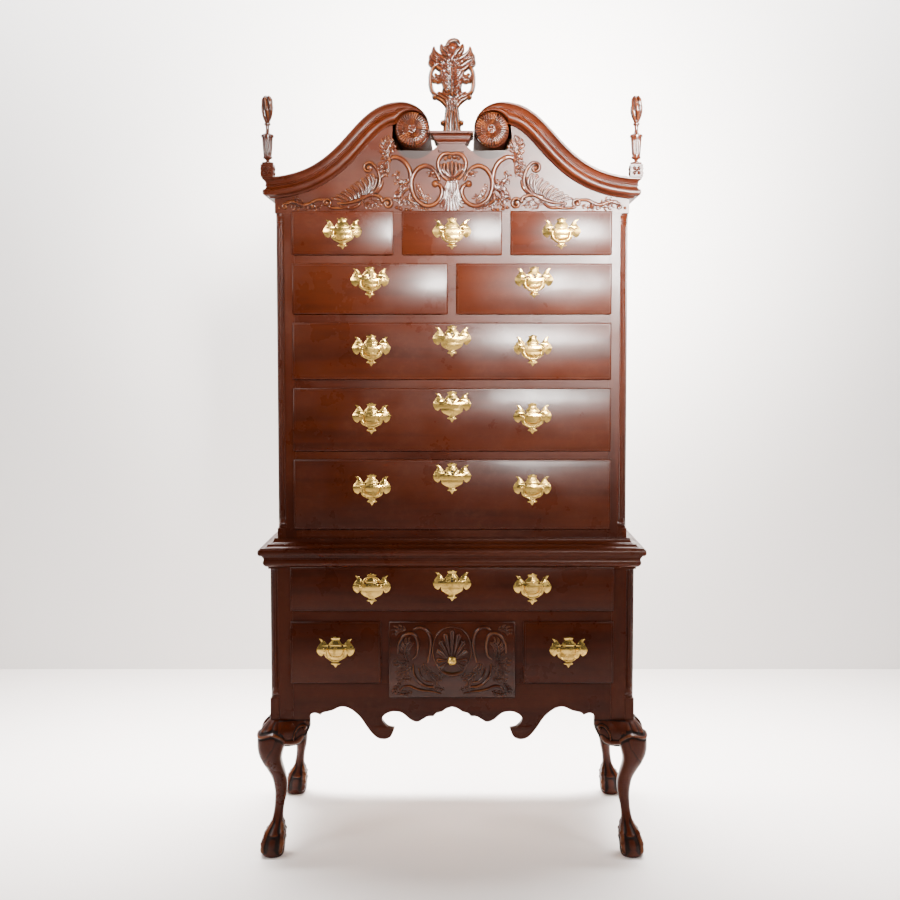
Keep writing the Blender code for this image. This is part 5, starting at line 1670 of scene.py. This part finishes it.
low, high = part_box("shell_drawer")
shell_front = drawer_front("shell_drawer_front", low, high, faces["shell_drawer"])
hand_over(shell_front, CARVED, "shell_drawer", ("shell_drawer",), plank=8.0)
field_half = (high.x - low.x) / 2 / MM - 7
field_height = (high.z - low.z) / MM - 14
shell_panel = shell_relief(field_half, field_height)
shell_carving = carve(
    "shell_drawer_carving", shell_panel, faces["shell_drawer"], high.z - 7 * MM, back=1.0 * MM, depth=1.1,
)
hand_over(shell_carving, CARVED, "shell_drawer", plank=8.0)
print(
    "shell drawer", round(2 * field_half), "x", round(field_height), "mm field,",
    len(shell_carving.data.polygons), "faces",
)

# %% [markdown]
# ## Rosettes
#
# Each swan neck ends in a turned disc carved with five petals. Each petal starts over its neighbour and
# ends under the next, like a pinwheel, with fine gouge cuts from the middle to the rim, and there is a
# group of beads in the middle. Disc and petals are one round grid whose height depends on the angle.

# %% Rosettes
def paint_sheet(obj, name, points, values):
    """Gives each point of a welded sheet the value of the grid point that lies where it does."""
    known = dict(zip(map(tuple, points.reshape(-1, 3).astype(np.float32).tolist()), values.ravel().tolist()))
    paint(obj, name, [known.get(tuple(vertex.co), 0.0) for vertex in obj.data.vertices])


def smoothstep(low_edge, high_edge, value):
    t = np.clip((value - low_edge) / (high_edge - low_edge), 0, 1)
    return t * t * (3 - 2 * t)


def rosette_mesh(name, centre_x, centre_z, front, back):
    radii = np.concatenate([np.linspace(0.2, 44, 34), [45.5, 46.6, 47.4, 47.9, 48.0, 48.0, 48.0]])
    turns = np.linspace(0, 2 * pi, 241)
    r, turn = np.meshgrid(radii, turns, indexing="ij")
    petal = (turn * 5 / (2 * pi) + 0.12 * r / 48) % 1.0
    step = np.minimum(petal / 0.05, 1) * (1 - petal)
    cuts = np.abs(np.sin(pi * petal * 7)) ** 0.8
    spread = smoothstep(9, 20, r)
    dome = np.interp(r, [0, 7, 10, 16, 28, 40, 48], [22, 22, 20.5, 23.5, 28.5, 27.0, 23.5])
    height = dome + spread * (4.2 * step - 2.5 * (1 - cuts) - 0.6)
    rim = np.array([1] * 34 + [0.985, 0.95, 0.88, 0.76, 0.60, 0.30, 0.0])[:, None]
    height = height * rim
    radius = r - 1.3 * spread * np.exp(-((np.minimum(petal, 1 - petal) / 0.03) ** 2)) * (r > 30)
    depth = (back - front) / (30.5 * MM)
    points = np.stack([
        centre_x + radius * np.cos(turn) * MM, back - height * depth * MM,
        centre_z + radius * np.sin(turn) * MM,
    ], axis=2)
    disc = sheet(name, points, close=True)
    # The relief attribute paints shade into the gouge cuts and where each petal runs under the next, and marks
    # the raised parts as rubbed.
    paint_sheet(disc, "relief", points, np.clip(spread * (1.5 * cuts - 0.95 + 1.1 * (step - 0.5)), -1, 1))
    beads = [smooth(disc, 60)]
    for x, z, size in ((0, 0, 4.4), (5.6, 1.6, 3.4), (-1.8, 5.6, 3.4), (-5.6, -1.8, 3.4), (1.6, -5.6, 3.4)):
        place = (centre_x + x * MM, front + 5.2 * MM, centre_z + z * MM)
        bpy.ops.mesh.primitive_uv_sphere_add(segments=16, ring_count=10, radius=size * MM, location=place)
        settle(bpy.context.object)
        beads.append(smooth(bpy.context.object, 60))
    return join(name, beads)


for where in ("left", "right"):
    low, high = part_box(f"rosette_{where}")
    rosette = rosette_mesh(
        f"rosette_{where}_carved", (low.x + high.x) / 2, (low.z + high.z) / 2, low.y, high.y,
    )
    hand_over(rosette, CARVED, stands_for=(f"rosette_{where}",), plank=1.0)
print("rosettes ready")

# %% [markdown]
# ## The cartouche
#
# The middle finial is a tall pierced carving of leaves on a stem. It was sawn from a thick board, pierced
# and carved from the front. The back, which faces the wall, stays flat. So it is a relief with nothing
# behind it: where no stroke reaches, there is air.

# %% Cartouche
def cartouche_relief():
    """Millimetres from the middle line and up from the cap."""
    piece = Relief(-72, 72, 0.2, 277, 1.05, ground=-6)
    stroke, bud = piece.stroke, piece.bud
    # the stem with its reeds, and the flare above it
    stroke([(0, 2), (0, 34), (0, 72), (0, 104)], [24, 21, 17, 18], [8, 8, 9, 9], "gouge")
    for x in (0, -10, -19):
        stroke(
            [(x * 1.05, 2), (x * 0.9, 40), (x * 0.66, 76), (x * 0.9, 100)], [4.4, 4.2, 3.4, 4.4],
            [12, 12, 12.5, 12],
        )
    bud(-26, 34, 7.4, 13)
    stroke(
        [(-6, 70), (-13, 86), (-26, 100), (-42, 108), (-50, 111)], [8, 9, 9, 7, 5], [12, 13, 13, 12, 10],
        "lobe",
    )
    stroke([(-2, 84), (-10, 98), (-26, 110), (-38, 118)], [7, 8, 8, 5], [13, 14, 13, 10], "lobe")
    bud(-50, 108, 7.2, 13)
    # the ring on either side with the leaf that reaches it
    stroke(
        [(-42, 112), (-56, 122), (-62, 142), (-62, 166), (-57, 186), (-44, 200)], [5, 5.6, 5.6, 5.4, 5],
        [9, 10.5, 10.5, 10, 9],
    )
    leaf(piece, [(-14, 150), (-30, 156), (-44, 160), (-60, 161)], 13, 4, 11, fat=0.62)
    stroke([(-16, 152), (-34, 158), (-60, 160)], [7, 6, 3.6], [10, 11, 9], "lobe")
    # the body: a broad leaf with its lobes, and the face-like knot at its foot
    stroke(
        [(0, 96), (0, 120), (0, 160), (0, 200), (0, 226)], [18, 24, 24, 22, 14], [8, 9, 10, 10, 9], "gouge",
    )
    leaf(piece, [(0, 112), (0, 140), (0, 170), (0, 214)], 33, 7, 13, lean=0.9, fat=0.44)
    bud(-9, 124, 6.4, 15)
    bud(-20, 132, 5.2, 13)
    bud(0, 114, 5.4, 15)
    stroke([(-3, 120), (-12, 112), (-22, 116), (-27, 126)], [3, 4, 3.4, 2.4], [12, 14, 13, 9])
    # the crown of leaves
    for knots, widths in (
        (((-8, 182), (-26, 188), (-44, 200), (-60, 214), (-64, 226)), (8, 11, 10, 6, 2.6)),
        (((-44, 200), (-54, 196), (-64, 202), (-66, 210)), (5, 6, 4.6, 2.4)),
        (((-8, 200), (-24, 210), (-40, 222), (-52, 238), (-52, 250)), (8, 11, 9.5, 6, 2.4)),
        (((-38, 220), (-48, 218), (-58, 226), (-59, 234)), (4.6, 6, 4.6, 2.2)),
        (((-4, 216), (-16, 230), (-27, 244), (-31, 256)), (8, 10, 8, 3.4)),
        (((-2, 200), (-6, 222), (-10, 238), (-15, 250)), (6, 8, 7, 3.4)),
    ):
        stroke(knots, widths, [10, 13, 12, 10, 6], "lobe")
    leaf(piece, [(-20, 190), (-30, 202), (-38, 214), (-44, 226)], 13, 4, 12, fat=0.6)
    leaf(piece, [(-10, 214), (-18, 226), (-22, 238), (-26, 248)], 11, 4, 12, fat=0.6)
    for x, z in ((-10, 172), (-14, 190), (-6, 206), (-17, 208)):
        bud(x, z, 3.4, 13.5)
    piece.mirror()
    # the knob-like crown and the curl over it
    bud(0, 246, 19, 14)
    stroke(
        [(-15, 254), (-7, 265), (6, 270), (18, 268), (22, 262)], [4.6, 6.4, 5.6, 3.6, 2.2],
        [12, 14, 13, 11, 7], "lobe",
    )
    return piece


low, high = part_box("cartouche_finial")
piece = cartouche_relief()
piece.height = np.where(piece.height > 0, piece.height * 1.08, piece.height)
cartouche = carve("cartouche_carved", piece, (low.y + high.y) / 2 - 1 * MM, low.z, back=13 * MM)
hand_over(cartouche, CARVED_UPRIGHT, stands_for=("cartouche_finial",), plank=5.0)
print("cartouche", len(cartouche.data.polygons), "faces")

# %% [markdown]
# ## Flame finials
#
# The corner finials are turned: a disc on a square block, a reeded urn, a cap, a neck and a flame. After
# turning, the reeds and the twisting flutes of the flame were cut with a gouge. Turning gives the radius
# at each height, and the gouge takes some of it away again depending on the angle.

# %% Flame finials
FLAME_PROFILE = (
    (0, 5), (0, 16), (3.0, 17.2), (6.5, 17), (8, 9), (10, 5.4), (13, 5.0), (16, 7.5), (18, 12.2), (22, 13.6),
    (26, 11.4), (28, 11.8), (34, 12.6), (70, 15.2), (77, 15.8), (79, 14.6), (80, 18.2), (86, 18.4),
    (89, 15.0),
    (91, 8.4), (95, 5.6), (104, 5.0), (114, 5.8), (116, 9.4), (120, 9.6), (122, 6.8), (126, 8.0), (140, 14.2),
    (156, 18.0), (168, 18.2), (180, 15.4), (189, 11.6), (196, 6.0), (198.5, 1.5),
)
FLAME_BLOCK = 36 * MM
# The profile's height and what its tips stand over it.
FLAME_HEIGHT = 203 * MM


def flame_finial(name, x, y, foot, scale):
    heights = np.concatenate([[0], np.linspace(0.3, 198.5, 190)])
    radii = np.interp(heights, *zip(*[(h + 0.001 * i, r) for i, (h, r) in enumerate(FLAME_PROFILE)]))
    turns = np.linspace(0, 2 * pi, 97)
    h, turn = np.meshgrid(heights, turns, indexing="ij")
    r = np.repeat(radii[:, None], len(turns), axis=1)
    reeds = smoothstep(28, 33, h) * (1 - smoothstep(70, 75, h))
    reed_cut = np.abs(np.sin(turn * 6)) ** 0.7 - 1
    flame = smoothstep(124, 132, h)
    flute = np.abs(np.cos(turn * 3 + (h - 124) * 0.036)) ** 0.75 - 1
    tips = smoothstep(172, 190, h)
    cut = reeds * reed_cut * 1.6 + flame * flute * 0.30 * r
    r = np.maximum(r + cut + tips * 3.0, 0.4)
    lift = tips * (flute + 0.45) * 9
    points = np.stack(
        [x + r * np.cos(turn) * MM, y + r * np.sin(turn) * MM, foot + (h + lift) * scale * MM], axis=2,
    )
    points[-1] = points[-1].mean(axis=0)
    finial = sheet(name, points, close=True)
    # The relief attribute paints shade into the hollows of the reeds and the flame's flutes, and marks the
    # ridges between them as rubbed.
    paint_sheet(
        finial, "relief", points,
        np.clip(reeds * (reed_cut + 0.35) * 1.6 + flame * (flute + 0.4) * 1.5, -1, 1),
    )
    return smooth(finial, 50)


def carved_block(name, low, high):
    """A square block with a sunk panel and a four-petalled flower on each upright face."""
    block = board(name, low, high, ease=0)
    edit(block)
    pick_faces(block, lambda middle, normal: abs(normal.z) < 0.5)
    bpy.ops.mesh.inset(thickness=3 * MM, depth=0, use_individual=True)
    bpy.ops.mesh.inset(thickness=0.8 * MM, depth=-1.6 * MM, use_individual=True)
    leave_edit()
    middle = (Vector(low) + Vector(high)) / 2
    reach = (high[0] - low[0]) / 2 - 2.2 * MM
    pieces = [block]
    for face in range(4):
        out = Vector((round(cos(face * pi / 2)), round(sin(face * pi / 2)), 0))
        across = Vector((-out.y, out.x, 0))
        for side, rise in ((-1, -1), (-1, 1), (1, -1), (1, 1), (0, 0)):
            place = middle + out * reach + across * side * 6.4 * MM + Vector((0, 0, rise * 6.4 * MM))
            bpy.ops.mesh.primitive_uv_sphere_add(
                segments=12, ring_count=8, radius=(5.6 if side else 4.0) * MM, location=place,
            )
            pieces.append(smooth(bpy.context.object, 60))
            settle(pieces[-1])
    return join(name, pieces)


for where in ("left", "right"):
    low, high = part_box(f"flame_finial_{where}")
    x, y = (low.x + high.x) / 2, (low.y + high.y) / 2
    block_half, block_top = (high.x - low.x) / 2, low.z + FLAME_BLOCK
    block = carved_block(
        f"flame_block_{where}", (x - block_half, y - block_half, low.z),
        (x + block_half, y + block_half, block_top)
    )
    hand_over(block, MAHOGANY["Z"], plank=6.0)
    finial = flame_finial(f"flame_finial_{where}_turned", x, y, block_top, (high.z - block_top) / FLAME_HEIGHT)
    hand_over(
        finial, CARVED_UPRIGHT, stands_for=(f"flame_finial_{where}",), plank=6.5,
    )
print("flame finials ready")

# %% [markdown]
# ## Cabriole legs with ball-and-claw feet
#
# Each leg is sawn from a thick post to the same S-curve on two faces, then rounded and carved. The knee
# swells outwards, the ankle is slender, and the foot is a ball gripped by four talons with knuckles. The
# section goes from a square with rounded corners at the knee to a circle at the ankle. So the leg is
# built as one sheet of rings. The outer and inner curves place and size each ring, and the carving is
# added to its radius: knuckles along four lines on the foot, and a rolled scroll across the knee.

# %% The leg
LEG_OUTER = (
    (0, 24), (3, 28), (12, 34), (25, 35.5), (41, 34), (60, 27), (79, 14), (95, 3), (117, -3), (142, -7),
    (174, -8), (199, -6), (228, 0), (256, 12), (284, 26), (316, 35), (347, 37), (366, 35), (382, 27),
    (395, 16), (407, 4),
)
LEG_INNER = (
    (0, -30), (3, -34), (19, -41), (41, -44), (60, -44), (79, -39), (101, -34), (120, -33), (146, -36),
    (174, -42), (199, -45), (221, -45), (253, -39), (278, -34), (297, -33), (320, -38), (350, -48),
    (407, -62),
)
DRAWN_LEG = LEG_OUTER[-1][0]
TALON_KNUCKLES = ((92, 3.0), (68, 4.6), (44, 4.6), (24, 3.4))


def smooth_curve(pairs, heights):
    """Reads a curve drawn through a few points, with rounded bends."""
    run = np.array(smooth_run(pairs, 10))
    return np.interp(heights, run[:, 0], run[:, 1])


def leg_shape(top):
    """Rings of (x, y, z) in millimetres from the corner of the case, outwards positive, and the relief."""
    heights = np.concatenate([np.linspace(0, 112, 78), np.linspace(114, 290, 46), np.linspace(293, top, 66)])
    stretch = heights * DRAWN_LEG / top
    outer, inner = smooth_curve(LEG_OUTER, stretch), smooth_curve(LEG_INNER, stretch)
    middle, half = (outer + inner) / 2, (outer - inner) / 2
    squareness = np.interp(stretch, [0, 70, 130, 220, 300, 407], [2.0, 2.0, 2.15, 2.3, 2.6, 3.6])[:, None]
    turns = np.linspace(0, 2 * pi, 129)
    z, turn = np.meshgrid(stretch, turns, indexing="ij")
    from_corner = np.abs((turn - pi / 4 + pi) % (2 * pi) - pi)
    roundness = np.abs(np.cos(turn)) ** squareness + np.abs(np.sin(turn)) ** squareness
    radius = half[:, None] / roundness ** (1 / squareness)
    carving = np.zeros_like(radius)

    # the webs end just over the ball, and the talons run down it with a knuckle at each joint
    to_talon = np.abs((turn - pi / 4 + pi / 4) % (pi / 2) - pi / 4) * radius
    below_web = 1 - smoothstep(60, 66, z - 7 * np.exp(-((to_talon / 9) ** 2)))
    carving -= 3.4 * below_web * smoothstep(0, 30, z)
    thick = np.interp(z, [0, 8, 14, 30, 60, 95, 118], [0, 2.0, 4.4, 6.2, 6.6, 4.2, 2.6])
    knuckles = sum(size * np.exp(-(((z - at) / 8.5) ** 2)) for at, size in TALON_KNUCKLES)
    claw = np.interp(z, [0, 9, 16, 90, 108, 128], [0, 0, 1, 1, 0.6, 0])
    across = np.clip(to_talon / np.maximum(thick * 1.30, 0.1), 0, 1)
    carving += claw * (thick * 0.95 + knuckles) * np.sqrt(1 - across**2)

    # the scroll across the knee, the leaf hollows over it and the shield below it
    away = np.degrees(from_corner)
    rise = 8 * (1 - np.cos(np.radians(np.minimum(away, 45) * 4))) / 2
    ridge_at = 363 + rise - 26 * (np.maximum(away - 45, 0) / 60) ** 1.5
    here = 1 - smoothstep(96, 112, away)
    carving += here * 4.2 * np.exp(-(((z - ridge_at) / 3.6) ** 2))
    carving -= here * 2.2 * np.exp(-(((z - ridge_at - 8) / 4.5) ** 2))
    carving -= here * 1.5 * np.exp(-(((z - ridge_at + 7) / 3.5) ** 2))
    over = here * smoothstep(6, 14, z - ridge_at) * (1 - smoothstep(398, 406, z))
    carving += over * 1.7 * (np.abs(np.cos(np.radians(away * 7.2) + (z - 380) * 0.05)) - 0.6)
    shield = np.interp(z, [288, 300, 330, 372], [0, 26, 56, 62])
    carving += here * 1.3 * (1 - smoothstep(-5, 3, away - shield)) * (z < ridge_at) * (z > 286)

    radius = radius + carving
    x = middle[:, None] + radius * np.cos(turn)
    y = middle[:, None] + radius * np.sin(turn)
    return np.stack([x, y, np.repeat(heights[:, None], len(turns), axis=1)], axis=2), carving


low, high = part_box("front_leg_left")
LEG_TOP = high.z
shape, leg_carving = leg_shape(LEG_TOP / MM)
# The relief attribute paints shade into the carved hollows of foot and knee, and marks the raised carving as
# rubbed.
leg_relief = np.clip((leg_carving - blurred(leg_carving, 40)) / 1.6, -1, 1)
for row, y_face, y_way in (("front", LOWER_FRONT, -1), ("rear", BACK, 1)):
    for where, side in (("left", -1), ("right", 1)):
        points = np.stack([
            side * (LOWER_HALF + shape[..., 0] * MM), y_face + y_way * shape[..., 1] * MM, shape[..., 2] * MM,
        ], axis=2)
        name = f"{row}_leg_{where}"
        leg = sheet(f"{name}_carved", points, close=True)
        paint_sheet(leg, "relief", points, leg_relief)
        hand_over(smooth(leg, 60), MAHOGANY["Z"], stands_for=(name,))
print("legs", round(LEG_TOP / MM), "mm high")

# %% [markdown]
# Blocks glued under the case carry the curve of the knee on to the apron and to the side. They are carved
# after gluing, with a small C-scroll at the outer end and a rounded lobe under it.

# %% Knee brackets
def bracket_relief():
    """Millimetres inwards from the corner of the case and up from the floor."""
    block = Relief(26, 116, 326, LEG_TOP / MM - 0.2, 1.3, ground=-4)
    stroke = block.stroke
    stroke([(30, 372), (56, 372), (78, 378), (96, 390)], [44, 38, 27, 17], [30, 24, 16, 9], "roll")
    stroke([(96, 388), (106, 398)], [15, 10], [8, 7], "roll")
    stroke([(40, 346), (62, 344), (80, 348), (92, 358)], [15, 14, 13, 9], [25, 21, 16, 12], "roll")
    stroke(
        [(70, 352), (74, 372), (86, 389), (99, 393), (105, 387), (101, 380)], [3.2, 4.4, 4.8, 4.4, 3.2],
        [24, 23, 18, 15, 13],
    )
    block.bud(101, 385, 5.4, 16)
    stroke([(56, 366), (58, 382), (66, 397)], [4, 5, 3.4], [27, 25, 20], "lobe")
    return block


knee_block = bracket_relief()
for row, y_face, y_way in (("front", LOWER_FRONT, -1), ("rear", BACK, 1)):
    for where, side in (("left", -1), ("right", 1)):
        for facing in ("end", "side"):
            block = carve(f"knee_block_{row}_{where}_{facing}", knee_block, 0, 0, back=24 * MM)
            found = np.array([vertex.co for vertex in block.data.vertices])
            inwards, out = found[:, 0], -found[:, 1]
            along, off = (out, -inwards) if facing == "side" else (-inwards, out)
            moved = np.stack([side * (LOWER_HALF + along), y_face + y_way * off, found[:, 2]], axis=1)
            block.data.vertices.foreach_set("co", moved.astype(np.float32).ravel())
            edit(block)
            face_outwards()
            leave_edit()
            hand_over(block, MAHOGANY["X" if facing == "end" else "Y"])
print("knee blocks ready")
